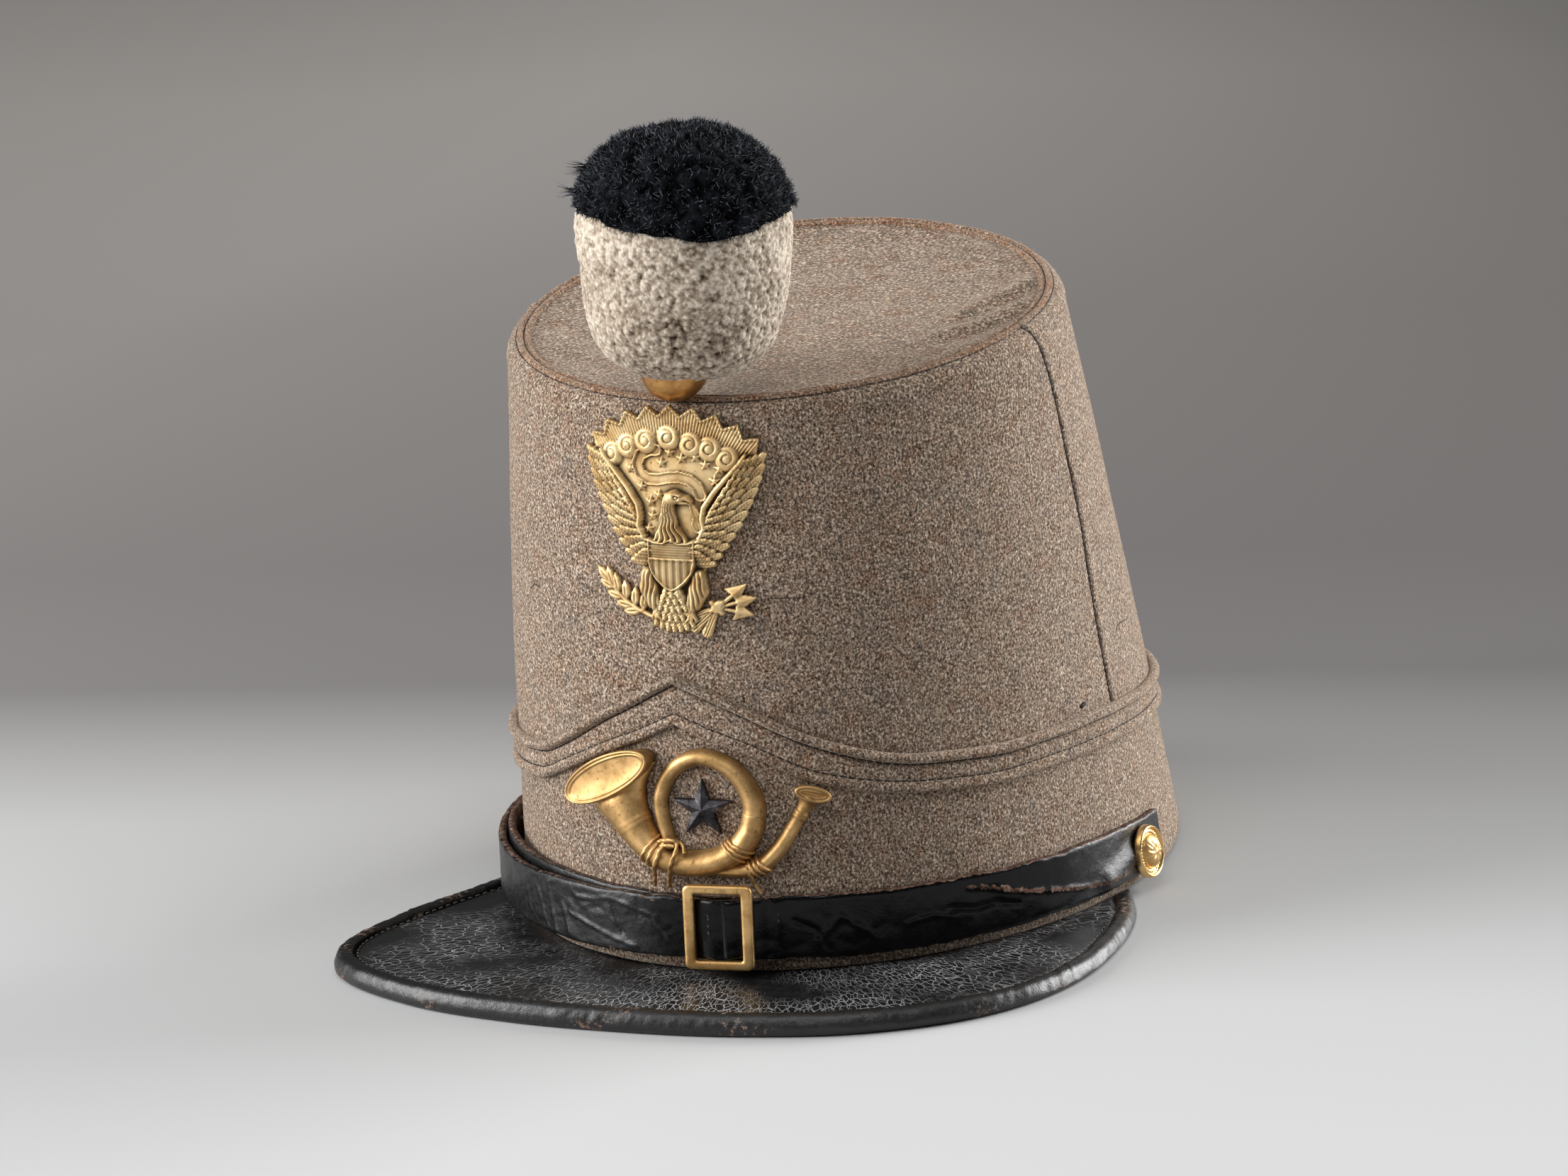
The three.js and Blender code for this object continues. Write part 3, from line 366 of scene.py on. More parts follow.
# %% [markdown]
# ## Making pieces
# A grid of points becomes a mesh of four-sided faces, open or closed in either direction. Each finished
# object sits at the origin with its place in its mesh, rides on the hat's one body and stands for its
# solid.

# %% Helpers for pieces
def grid_faces(rows, columns, wrap_rows=False, wrap_columns=False):
    """Faces of a grid of points that are counted row by row."""
    r = np.arange(rows if wrap_rows else rows - 1)
    c = np.arange(columns if wrap_columns else columns - 1)
    r, c = (a.ravel() for a in np.meshgrid(r, c, indexing="ij"))
    up, over = (r + 1) % rows, (c + 1) % columns
    return np.stack([r * columns + c, r * columns + over, up * columns + over, up * columns + c], axis=1)


def outward_faces(points, faces):
    """Turns all four-sided faces round if their body would be inside out."""
    volume = 0.0
    for half in ([0, 1, 2], [0, 2, 3]):
        a, b, c = (points[faces[:, corner]] for corner in half)
        volume += np.einsum("ij,ij->i", a, np.cross(b, c)).sum()
    return faces if volume > 0 else faces[:, ::-1]


def new_piece(name, points, faces, material, marks=None, ends=()):
    """A smooth mesh in the frame; marks are named numbers on its points, and ends close its open rings."""
    mesh = bpy.data.meshes.new(name)
    mesh.from_pydata(to_row(points).tolist(), [], [list(f) for f in faces] + [list(f) for f in ends])
    mesh.materials.append(material)
    for key, values in (marks or {}).items():
        values = np.asarray(values, np.float32).reshape(len(points), -1)
        kind, field = ("FLOAT", "value") if values.shape[1] == 1 else ("FLOAT_VECTOR", "vector")
        mesh.attributes.new(key, kind, "POINT").data.foreach_set(field, values.ravel())
    mesh.shade_smooth()
    mesh.validate()
    piece = bpy.data.objects.new(name, mesh)
    scene.collection.objects.link(piece)
    return piece


def ring_body(rings, closed=False, start=0):
    """The points, faces and flat ends of a body made of rings, counted from a start."""
    count, around = rings.shape[:2]
    points = rings.reshape(-1, 3)
    faces = outward_faces(points, grid_faces(count, around, closed, True))
    flipped = faces[0, 1] != 1
    first, last = np.arange(around), np.arange((count - 1) * around, count * around)
    ends = [] if closed else [first if flipped else first[::-1], last[::-1] if flipped else last]
    return points, faces + start, [end + start for end in ends]


def loft(name, rings, material, closed=False, marks=None):
    """Rings of points joined into one closed body; an open loft gets flat ends."""
    points, faces, ends = ring_body(np.asarray(rings), closed)
    return new_piece(name, points, faces, material, marks, ends)


def dress(piece, slot, *nodes):
    """The piece rides on the hat and stands for its solids; its slot is not used."""
    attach(piece, "root")
    if nodes:
        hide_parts(*nodes)
    triangles = sum(len(p.vertices) - 2 for p in piece.data.polygons)
    print(piece.name, "triangles:", triangles)
    return piece


# %% [markdown]
# ## Heather wool
# The cloth is fulled wool: yarn spun from dark, beige, cream and a few rust and blue-black fibres, woven,
# then shrunk and brushed until the weave hardly shows. The eye sees flecks of about half a millimetre, a
# little longer up the wall, under wide soft patches of colour. A sheen lightens it at grazing angles, as
# nap does. A worn variant for the piping shows more rust, and the top has larger flecks, more rust and
# slightly darker tones, which are painted shade. A picture of cloth could be wrapped round, but noise in
# object space has no seam and no stretch.

# %% Wool materials
FLECK = 0.55  # mm across for the largest clumps of fibre
TOP_FLECK = 0.76
FLECK_STRETCH = 0.8  # clumps are a little longer up the wall
PATCH = 6.0


def heather_wool(name, stops, rust, fleck=FLECK):
    """Fulled heather wool: flecked, matt, with a soft sheen. Rust is the share of worn fibres."""
    material, node, shader = new_material(name, roughness=0.95, specular_ior_level=0.15, sheen_weight=0.35,
                                          sheen_roughness=0.45, sheen_tint=linear("#d6c9ba"))
    place = node("TexCoord").outputs["Object"]
    lain = node("Mapping", {"Vector": place, "Scale": (1, 1, FLECK_STRETCH)})
    flecks = node("TexNoise", {"Vector": lain, "Scale": per_mm(fleck), "Detail": 2.0, "Roughness": 0.75})
    base = node("ValToRGB", {"Fac": flecks}, stops)
    patches = node("TexNoise", {"Vector": place, "Scale": per_mm(PATCH), "Detail": 4.0, "Roughness": 0.7})
    worn = node("MapRange", {"Value": patches, "From Min": 0.5, "From Max": 0.75, "To Max": rust})
    warm = node("Mix", {"Factor": worn, "A": base, "B": linear("#9a6038")}, data_type="RGBA",
                blend_type="SOFT_LIGHT")
    cold = node("MapRange", {"Value": patches, "From Min": 0.44, "From Max": 0.28, "To Max": 0.45})
    cool = node("Mix", {"Factor": cold, "A": warm, "B": linear("#3f4145")}, data_type="RGBA")
    sparse = node("TexNoise", {"Vector": lain, "Scale": per_mm(0.7), "Detail": 1.0})
    dyed = node("MapRange", {"Value": sparse, "From Min": 0.64, "From Max": 0.74, "To Max": 0.5})
    flecked = node("Mix", {"Factor": dyed, "A": cool, "B": linear("#ab7a55")}, data_type="RGBA")
    bump = node("Bump", {"Height": flecks, "Strength": 0.5, "Distance": 0.4 * MM})
    set_inputs(shader, {"Base Color": flecked, "Normal": bump})
    return material


WALL_TONES = [(0.3, "#19110b"), (0.435, "#605044"), (0.557, "#968472"), (0.7, "#dacbbb")]
WORN_TONES = [(0.28, "#20140c"), (0.42, "#654e3f"), (0.56, "#937a65"), (0.72, "#d2beaa")]
# the top's tones are a little darker than the wall's: painted shade
TOP_SHADED_TONES = [(0.31, "#19110b"), (0.44, "#5b4b3f"), (0.56, "#8e7c6b"), (0.7, "#d6c7b6")]
wool = heather_wool("heather_wool", WALL_TONES, rust=0.5)
worn_wool = heather_wool("worn_wool", WORN_TONES, rust=0.85)
shaded_top_wool = heather_wool("shaded_top_wool", TOP_SHADED_TONES, rust=0.8, fleck=TOP_FLECK)
print("wool clumps per mm:", round(1 / FLECK, 2))

# %% [markdown]
# ## The crown wall
# A felted wall is never quite even, so the smooth wall is moved in and out by slow noise of a few tenths
# of a millimetre. The grid runs up the outside, over the rounded shoulder, and down the inside to the
# open mouth.

# %% Crown wall
AROUND = 320
WALL_ROWS = 60
SHOULDER_ROWS = 8
INNER_ROWS = 14


def full_turn(count):
    """Even angles all the way round."""
    return np.linspace(0, math.tau, count, endpoint=False)


def shoulder(angle, turn):
    """Points of the rounded shoulder: turn is 0 at the wall and a right angle at the top."""
    grow = SHOULDER_INNER + (SHOULDER_GROW - SHOULDER_INNER) * np.cos(turn)
    return on_oval(TOP, angle, grow, SHOULDER_DROP * (1 - np.sin(turn)))


def unevenness(points):
    return layered(points, (0.42, 34, 1), (0.2, 12, 2), (0.07, 3.5, 3))


angles = full_turn(AROUND)
wall = []
for share in np.linspace(0, 1, WALL_ROWS):
    origin, _, _, outward = wall_frame(angles, share)
    wall.append(origin + outward * unevenness(origin)[:, None])
for turn in np.radians(np.linspace(0, 90, SHOULDER_ROWS + 1)[1:]):
    ring = shoulder(angles, turn)
    wall.append(ring + [0, 0, 1] * (0.3 * noise(ring, 14, 4))[:, None])
wall.append(on_oval(TOP, angles, SHOULDER_INNER, CLOTH))
inner_foot = on_oval(RIM, angles, -CLOTH)
inner_head = on_oval(TOP, angles, SHOULDER_GROW - CLOTH, SHOULDER_DROP)
for share in np.linspace(1, 0, INNER_ROWS):
    wall.append(inner_foot + (inner_head - inner_foot) * share)
rings = np.swapaxes(np.array(wall), 0, 1)
crown_wall = dress(loft("crown_wall", rings, wool, closed=True), "wool_cloth", "crown_side")

# %% [markdown]
# ## The sunken top
# The top is one slack disc of the same cloth, sewn in below its piped edge. It sags a little and has two
# soft folds by the wearer's left edge. Rings of points round the oval give the disc; each fold is a low
# ridge along a line, added as a bell curve across that line.

# %% Crown top
TOP_SAG = 2.4
TOP_RINGS = 48
TOP_MARGIN = 0.3  # how far the disc runs under its piping
TOP_HOLE = 0.98  # share of the disc that the last inner ring leaves out
FOLD = {"lead": 8, "trail": 10, "fade": 16, "aside": 1.6, "hollow": 0.8}
TOP_FOLDS = table(
    "start end width rise",
    ((58, 12), (44, -22), 3.4, 1.0), ((63, -6), (46, -36), 3.6, 1.1),
    ((-52, -50), (-34, -62), 4.0, 0.5), ((20, 36), (40, 22), 5.0, 0.5),
)


def bell(value, width):
    """1 where a value is 0, and less the further it is from 0, over a width."""
    return np.exp(-(value / width) ** 2)


def top_height(x, y):
    """How far the slack disc lifts or sinks in its folds."""
    lift = layered(np.stack([x, y], -1), (0.35, 22, 5), (0.1, 6, 6))
    for fold in TOP_FOLDS:
        start, run = np.array(fold["start"]), np.subtract(fold["end"], fold["start"])
        length = np.linalg.norm(run)
        along = ((x - start[0]) * run[0] + (y - start[1]) * run[1]) / length
        across = ((x - start[0]) * run[1] - (y - start[1]) * run[0]) / length
        from_end = np.minimum(along + FOLD["lead"], length + FOLD["trail"] - along)
        fade = np.clip(from_end / FOLD["fade"], 0, 1)
        hollow = bell(across + FOLD["aside"] * fold["width"], fold["width"])
        ridge = bell(across, fold["width"]) - FOLD["hollow"] * hollow
        lift = lift + fold["rise"] * ridge * fade * fade * (3 - 2 * fade)
    return lift


disc = []
for share in np.linspace(0.02, 1, TOP_RINGS):
    grow = TOP_MARGIN - (1 - share) * TOP["half_width"]
    ring = on_oval(TOP, angles, grow)
    loose = min(1.0, 12 * (1 - share))
    drop = TOP_SAG * (1 - share ** 4) - loose * top_height(ring[:, 0], ring[:, 1])
    disc.append(on_oval(TOP, angles, grow, drop))
disc.append(on_oval(TOP, angles, TOP_MARGIN, CLOTH - 0.4))
disc.append(on_oval(TOP, angles, TOP_MARGIN - TOP_HOLE * TOP["half_width"], CLOTH + TOP_SAG))
crown_top = dress(loft("crown_top_disc", disc, shaded_top_wool), "wool_cloth", "crown_top")

# %% [markdown]
# ## Piping round the top
# Where the disc meets the wall, the edge of each is turned and rolled, so two soft ridges run side by
# side with a groove between them. One section with two humps, carried round the oval, gives both.

# %% Top piping
PIPING = {"outer": 0.85, "inner": -0.95, "outer_radius": 0.95, "inner_radius": 0.9, "sunk": 0.15,
          "inner_sunk": 0.1, "margin": 0.6, "outer_foot": 1.5, "inner_foot": 1.7}
HUMP_POINTS = 10


def hump(middle, radius, sunk):
    """Points over a round ridge, from its outer foot to its inner foot, as grow and drop."""
    turn = np.radians(np.linspace(-25, 200, HUMP_POINTS))
    return np.stack([middle + radius * np.cos(turn), sunk - radius * np.sin(turn)], axis=1)


section = np.concatenate([
    [[PIPING["outer"] + PIPING["margin"], PIPING["outer_foot"]]],
    hump(PIPING["outer"], PIPING["outer_radius"], PIPING["sunk"]),
    hump(PIPING["inner"], PIPING["inner_radius"], PIPING["sunk"] + PIPING["inner_sunk"]),
    [[PIPING["inner"] - PIPING["margin"], PIPING["inner_foot"]]],
])
rings = np.array([on_oval(TOP, angles, grow, drop) for grow, drop in section])
swell = layered(rings, (0.14, 5, 7), (0.08, 2.2, 8))
rings = rings + swell[..., None] * np.array([0, 0, 1.0])
top_piping = loft("top_piping", np.swapaxes(rings, 0, 1), worn_wool, closed=True)
dress(top_piping, "wool_piping", "top_welt")

# %% [markdown]
# ## Side seams
# The wall is sewn from a front and a back. Their lapped seams run up the sides, from the band to the top,
# as a narrow raised strip. The section is lofted up the wall in short steps.

# %% Side seams
SEAM_ROWS = 70
SEAM_LAP = [(-1.9, -0.2), (-1.75, 0.25), (-1.2, 0.55), (-0.2, 0.62), (0.8, 0.5), (1.5, 0.3), (2.2, -0.2)]
SEAM_FOOT = 44.0
SEAM_RUN_OVER = 6.2
SEAM_BEND = {"turn": 0.08, "below": 24, "run": 30, "waver": 0.006}


def skin(angle, rise):
    """Points of the wall's outside and, above it, of its rounded shoulder."""
    top = slant(angle)
    origin, _, _, outward = wall_frame(angle, np.minimum(rise / top, 1))
    turn = np.maximum(rise - top, 0) / SHOULDER_DROP
    return np.where((rise > top)[:, None], shoulder(angle, turn),
                    origin + outward * unevenness(origin)[:, None])


def seam_frame(side):
    """The line of a side seam, which bends forward near the top, and its directions."""
    top = float(slant(math.pi / 2))
    rise = np.linspace(SEAM_FOOT, top + SEAM_RUN_OVER, SEAM_ROWS)
    part = np.clip((rise - top + SEAM_BEND["below"]) / SEAM_BEND["run"], 0, 1.1)
    bend = SEAM_BEND["turn"] * part ** 2 + SEAM_BEND["waver"] * noise(rise[:, None], 17, 9)
    angle = side * (math.pi / 2 - bend)
    origin = skin(angle, rise)
    upward = unit(np.gradient(origin, axis=0))
    along = unit(skin(angle + 0.01, rise) - skin(angle - 0.01, rise))
    return origin, along * side, unit(np.cross(along, upward))


for name, side in (("side_seam_left", 1), ("side_seam_right", -1)):
    origin, backward, outward = seam_frame(side)
    rings = np.stack([origin + backward * across + outward * off for across, off in SEAM_LAP], axis=1)
    dress(loft(name + "_lap", rings, wool), "wool_cloth", name)

# %% [markdown]
# ## The pointed band
# A band of the same cloth runs round the wall and rises to a point in front. Its upper edge is piped,
# with a stitched groove under the piping, and its lower edge is a plain fold. Two short tables give the
# edges, and one section with a hump, a groove, a flat and a fold is carried along them.

# %% Band
BAND_LEFT = table(
    "arc low high",
    (0, 61.6, 74), (17, 55.3, 66.7), (34, 47.2, 58.2), (52, 43, 52.5), (80, 40.5, 49.7),
    (120, 40.4, 49.6), (180, 37.6, 46.4), (270, 36.8, 45.4),
)
BAND_RIGHT = table(
    "arc low high",
    (0, 61.6, 74), (9, 57.4, 69), (21, 52.2, 62.5), (36.5, 45.2, 54), (48, 40.8, 50), (80, 38, 46.8),
    (180, 37, 45.8), (270, 36.8, 45.4),
)
BAND_LEVEL = 50
BAND_HALF_GIRTH = half_girth(BAND_LEVEL)
BAND_STATIONS = 480
BAND_FOLD = [(0.4, -0.3), (-0.25, 0.5), (-0.3, 1.15), (0.1, 1.75), (0.75, 1.95), (1.5, 1.75), (2.2, 1.5),
             (2.6, 0.85), (3.1, 1.25), (3.9, 1.4)]
BAND_PIPING = [(-3.7, 1.35), (-3.0, 1.05), (-2.6, 0.4), (-2.35, 0.7), (-2.15, 1.7), (-1.6, 2.4),
               (-0.9, 2.65), (-0.2, 2.35), (0.25, 1.7), (0.3, 0.9), (0.1, -0.3)]
arcs = np.linspace(-BAND_HALF_GIRTH, BAND_HALF_GIRTH, BAND_STATIONS, endpoint=False)
turn = angle_at(arcs, np.full(BAND_STATIONS, float(BAND_LEVEL)))
low, high = (np.where(arcs > 0, table_curve(BAND_LEFT, "arc", edge)(arcs),
                      table_curve(BAND_RIGHT, "arc", edge)(-arcs)) for edge in ("low", "high"))
sections = [(low + rise, off) for rise, off in BAND_FOLD]
sections += [(high + rise, off) for rise, off in BAND_PIPING]


def band_line(height, off):
    """A line along the band at one height and stand-off, with the slackness of old cloth."""
    plain = off_wall(turn, height, np.zeros(BAND_STATIONS))
    wave = unevenness(plain) + layered(plain, (0.22, 9, 10), (0.14, 3, 11)) * (off > 0)
    return off_wall(turn, height + 0.25 * noise(plain, 11, 12), off + wave)


rings = [band_line(height, off) for height, off in sections]
band_stitch_lines = [band_line(high - 2.6, 0.62), band_line(low + 2.62, 1.0)]
band = loft("pointed_band", np.swapaxes(np.array(rings), 0, 1), wool, closed=True)
dress(band, "wool_piping", "band")
print("band girth in mm:", round(2 * BAND_HALF_GIRTH))

# %% [markdown]
# ## Leather
# The visor is black finished leather whose skin has crazed: fine pale cracks run outwards from the crown
# and join into a net in front. The strap is patent leather, a thick shiny coat that wrinkles and chips,
# with red-brown raw edges. Both patterns follow the piece, so each mesh carries its own lay of the
# leather, in millimetres, as an attribute, and the cracks are the borders of stretched cells on it.

# %% Leather materials
CRACK_CELLS = table(
    "size stretch line strength start end",
    (1.9, (1.0, 0.2, 1.0), 0.05, 0.7, 0.42, 0.75), (2.0, (1.0, 0.55, 1.0), 0.05, 0.97, 0.43, 0.7),
)


def crazed_leather(name):
    """Black finished leather: satin, crazed with pale cracks, and scuffed brown where it is rubbed."""
    material, node, shader = new_material(name, specular_ior_level=0.46, ior=1.5)
    lay = node("Attribute", attribute_name="lay").outputs["Vector"]
    place = node("TexCoord").outputs["Object"]
    warp = node("TexNoise", {"Vector": lay, "Scale": 1 / 7.0, "Detail": 3.0})
    shifted = node("VectorMath", {0: warp.outputs["Color"], 1: (3.2, 3.2, 0)}, operation="MULTIPLY")
    bent = node("VectorMath", {0: lay, 1: shifted})
    patches = node("TexNoise", {"Vector": place, "Scale": per_mm(26), "Detail": 2.0})
    wear = node("Attribute", attribute_name="wear").outputs["Fac"]
    spread = node("Math", {0: wear, 1: 0.22, 2: patches}, operation="MULTIPLY_ADD")
    lines = []
    for cells in CRACK_CELLS:
        laid = node("Mapping", {"Vector": bent, "Scale": cells["stretch"]})
        border = node("TexVoronoi", {"Vector": laid, "Scale": 1 / cells["size"]},
                      feature="DISTANCE_TO_EDGE", voronoi_dimensions="2D")
        line = node("MapRange", {"Value": border, "From Min": cells["line"], "From Max": 0.0,
                                 "To Max": cells["strength"]})
        where = node("MapRange", {"Value": spread, "From Min": cells["start"], "From Max": cells["end"]})
        lines.append(node("Math", {0: line, 1: where}, operation="MULTIPLY"))
    cracks = node("Math", {0: lines[0], 1: lines[1]}, operation="MAXIMUM")
    rubbed = node("TexNoise", {"Vector": place, "Scale": per_mm(3.5), "Detail": 5.0, "Roughness": 0.7})
    tone = node("ValToRGB", {"Fac": rubbed}, [(0.3, "#0a0a0b"), (0.6, "#161718"), (0.72, "#222222"),
                                              (0.8, "#44302a")])
    colour = node("Mix", {"Factor": cracks, "A": tone, "B": linear("#cacacc")}, data_type="RGBA")
    gloss = node("MapRange", {"Value": rubbed, "From Min": 0.3, "From Max": 0.75, "To Min": 0.27,
                              "To Max": 0.45})
    bump = node("Bump", {"Height": cracks, "Strength": 0.5, "Distance": 0.15 * MM}, invert=True)
    grain = node("Bump", {"Height": rubbed, "Strength": 0.25, "Distance": 0.3 * MM, "Normal": bump})
    set_inputs(shader, {"Base Color": colour, "Roughness": gloss, "Normal": grain})
    return material


def patent_leather(name, wear, gloss, shine):
    """Black patent leather: a glossy coat, dull where rubbed, over a core that shows red-brown at edges."""
    material, node, shader = new_material(name, ior=1.5)
    lay = node("Attribute", attribute_name="lay").outputs["Vector"]
    edge = node("Attribute", attribute_name="raw").outputs["Fac"]
    rub = node("Attribute", attribute_name="rub").outputs["Fac"]
    level = node("MapRange", {"Value": rub, "To Min": 0.5 * shine, "To Max": shine})
    scuffs = node("TexNoise", {"Vector": lay, "Scale": 1 / 1.6, "Detail": 5.0, "Roughness": 0.7})
    chipped = node("Math", {0: scuffs, 1: edge}, operation="MULTIPLY")
    bare = node("MapRange", {"Value": chipped, "From Min": wear, "From Max": wear + 0.12})
    core = node("ValToRGB", {"Fac": scuffs}, [(0.3, "#2a160f"), (0.5, "#503527"), (0.7, "#8f7969")])
    coat = node("ValToRGB", {"Fac": scuffs}, [(0.35, "#030304"), (0.65, "#08090a"), (0.8, "#151619")])
    colour = node("Mix", {"Factor": bare, "A": coat, "B": core}, data_type="RGBA")
    worn = node("MapRange", {"Value": scuffs, "From Min": 0.3, "From Max": 0.75, "To Min": gloss,
                             "To Max": gloss + 0.16})
    rubbed = node("Math", {0: rub, 1: 0.15, 2: worn}, operation="MULTIPLY_ADD")
    dulled = node("Math", {0: rubbed, 1: bare}, operation="MAXIMUM")
    crazing = node("TexVoronoi", {"Vector": lay, "Scale": 1 / 1.1}, feature="DISTANCE_TO_EDGE")
    bump = node("Bump", {"Height": crazing, "Strength": 0.12, "Distance": 0.2 * MM})
    rough = node("MapRange", {"Value": rub, "To Min": 0.2, "To Max": 0.6})
    grain = node("Bump", {"Height": scuffs, "Strength": rough, "Distance": 0.35 * MM, "Normal": bump})
    set_inputs(shader, {"Specular IOR Level": level, "Base Color": colour, "Roughness": dulled,
                        "Normal": grain})
    return material


visor_leather = crazed_leather("crazed_leather")
strap_leather = patent_leather("patent_leather", wear=0.54, gloss=0.12, shine=0.44)
binding_leather = patent_leather("bound_leather", wear=0.66, gloss=0.2, shine=0.75)

# %% [markdown]
# ## The visor and its bound edge
# The visor is a flat sheet whose outline has gone uneven with age. A table of bearings and reaches, seen
# from a pole on the middle line, gives that outline, and the rim oval gives its inner edge. A strip of
# leather is rolled over the outer edge and creased across, and it is flat where it lies on the floor.
# Corner cutting rounds the roll's few corners into a smooth section.

# %% Visor
VISOR_POLE = -50.0
VISOR = table(
    "deg reach",
    (-124, 84), (-110, 81.5), (-90, 82), (-70, 97), (-58, 110), (-50, 112.5), (-36, 106), (-18, 96.6),
    (0, 91.6), (20, 92.6), (36, 96.6), (55, 100.2), (70, 99), (90, 93.7), (110, 90.5), (124, 88),
)
VISOR_THICK = 1.7
VISOR_STATIONS = 260
VISOR_ROWS = 36
LAY_PER_DEG = 1.6  # mm of leather to a degree of bearing
VISOR_WEAR = {"deg": 5, "spread": 42, "reach": 66, "fade": 14}
BINDING = {"width": 5.0, "narrowest": 1.4, "rise": 1.0, "clear": 0.5, "overlap": 0.4}
GAP = 0.3
visor_outline = table_curve(VISOR, "deg", "reach")


def visor_reach(bearing):
    return visor_outline(np.degrees(bearing))


def rim_plane(y):
    return RIM["z"] + y * math.tan(math.radians(RIM["tilt"]))


def rim_reach(bearing, grow):
    """Distance from the visor's pole to the rim oval, along a bearing from the front."""
    wide, long = RIM["half_width"] + grow, RIM["half_length"] + grow
    square = (np.sin(bearing) / wide) ** 2 + (np.cos(bearing) / long) ** 2
    lean = -VISOR_POLE / long * np.cos(bearing) / long
    return (-lean + np.sqrt(lean ** 2 + square * (1 - (VISOR_POLE / long) ** 2))) / square


def binding_width(bearing):
    return np.minimum(BINDING["width"], visor_reach(bearing) - rim_reach(bearing, BINDING["clear"]))


def from_pole(bearing, reach, z):
    x, y = reach * np.sin(bearing), VISOR_POLE - reach * np.cos(bearing)
    return np.stack(np.broadcast_arrays(x, y, z), axis=-1)


tries = np.radians(np.arange(60, 124, 0.5))
ends = [side * tries[np.argmax(binding_width(side * tries) <= BINDING["narrowest"])] for side in (-1, 1)]
bearings = np.linspace(*ends, VISOR_STATIONS)
reach, wide = visor_reach(bearings), binding_width(bearings)
inner, outer = rim_reach(bearings, -CLOTH), reach - wide + BINDING["overlap"]
rings, lay = [], []
upper_rows = [(share, False) for share in np.linspace(0, 1, VISOR_ROWS)]
for share, below in upper_rows + [(1.0, True), (0.0, True)]:
    across = (outer - inner) * share
    flat = from_pole(bearings, inner + across, 0.0)
    z = rim_plane(flat[:, 1]) - GAP
    if below:
        z = z - VISOR_THICK
    else:
        z = z + 0.32 * noise(flat, 24, 13) + 0.09 * noise(flat, 5, 14)
        z = z - 0.5 * bell((1 - share) * (outer - inner), 1.1)
    rings.append(np.column_stack([flat[:, :2], z]))
    lay.append(np.column_stack([np.degrees(bearings) * LAY_PER_DEG, across + inner, 0 * bearings]))
rings, lay = (np.swapaxes(np.array(rows), 0, 1) for rows in (rings, lay))
wear = bell(np.degrees(bearings)[:, None] - VISOR_WEAR["deg"], VISOR_WEAR["spread"])
wear = wear * np.clip((lay[..., 1] - VISOR_WEAR["reach"]) / VISOR_WEAR["fade"], 0, 1)
visor = loft("visor_sheet", rings, visor_leather, marks={"lay": lay, "wear": wear})
dress(visor, "visor_leather", "visor")


# %% Bound edge
def rounded(corners, times=2):
    """Cuts the corners of closed outlines, which run along the second axis, until they are smooth."""
    for _ in range(times):
        following = np.roll(corners, -1, axis=1)
        pairs = np.stack([0.75 * corners + 0.25 * following, 0.25 * corners + 0.75 * following], axis=2)
        corners = pairs.reshape(len(corners), -1, corners.shape[2])
    return corners


BINDING_STATIONS = 560
ROLL_GIRTH = 14
# share of the width outwards, and either a rise from the rim plane or a height over the floor
BINDING_CORNERS = [(-0.98, 0.1, None), (-0.86, 0.85, None), (-0.5, 1.1, None), (-0.2, 0.55, None),
                   (-0.03, -0.9, None), (0.05, -2.3, None), (-0.01, None, 0.6), (-0.28, None, 0.0),
                   (-0.98, None, 0.0)]
stations = np.linspace(*ends, BINDING_STATIONS)
reach, wide = visor_reach(stations), binding_width(stations)
y_edge = VISOR_POLE - reach * np.cos(stations)
part = wide / BINDING["width"]
corners = []
for across, rise, floor_height in BINDING_CORNERS:
    z = floor_height if rise is None else rim_plane(y_edge) + BINDING["rise"] * rise * part
    corners.append(from_pole(stations, reach + wide * across, z))
rings = rounded(np.swapaxes(np.array(corners), 0, 1))
run = run_along(from_pole(stations, reach, 0.0))
round_the_roll = np.linspace(0, ROLL_GIRTH, rings.shape[1])
lay = np.stack(np.broadcast_arrays(run[:, None], round_the_roll[None, :], 0.0), axis=-1)
creased = np.stack([lay[..., 0] + 0.35 * lay[..., 1], lay[..., 1] * 0.22], axis=-1)
gathers = np.clip(0.7 + 0.8 * noise(lay, 22, 48), 0.35, 1)
crease = gathers * (0.2 * np.abs(noise(creased, 3.2, 15)) + 0.16 * noise(creased, 1.2, 38))
crease = crease + 0.2 * noise(lay, 6, 16) + 0.07 * noise(lay, 1.6, 49) - 0.08
middle = rings.mean(axis=1, keepdims=True)
push = unit(rings - middle) * (crease * np.clip((rings[..., 2] - 0.6) / 1.5, 0, 1))[..., None]
rings = rings + push
raw = np.clip(0.95 + 0.5 * noise(lay, 9, 17), 0, 1.35)
rub = np.full(raw.shape, 0.78)
binding = loft("visor_binding_roll", rings, binding_leather, marks={"lay": lay, "raw": raw, "rub": rub})
dress(binding, "visor_leather", "visor_binding")
print("visor edge in mm:", round(float(run[-1])))

# %% [markdown]
# ## The chin strap
# The strap runs right round the front from button to button, doubled on the wearer's right where its
# spare length is held by the slide. Old patent leather keeps its creases: a short table of lines,
# measured in arc and height on the wall, raises or sinks its face, and slow noise does the rest. The raw
# edges, a torn line near the left button and the cut end beside the slide are marked, so that the
# material can show the core there.

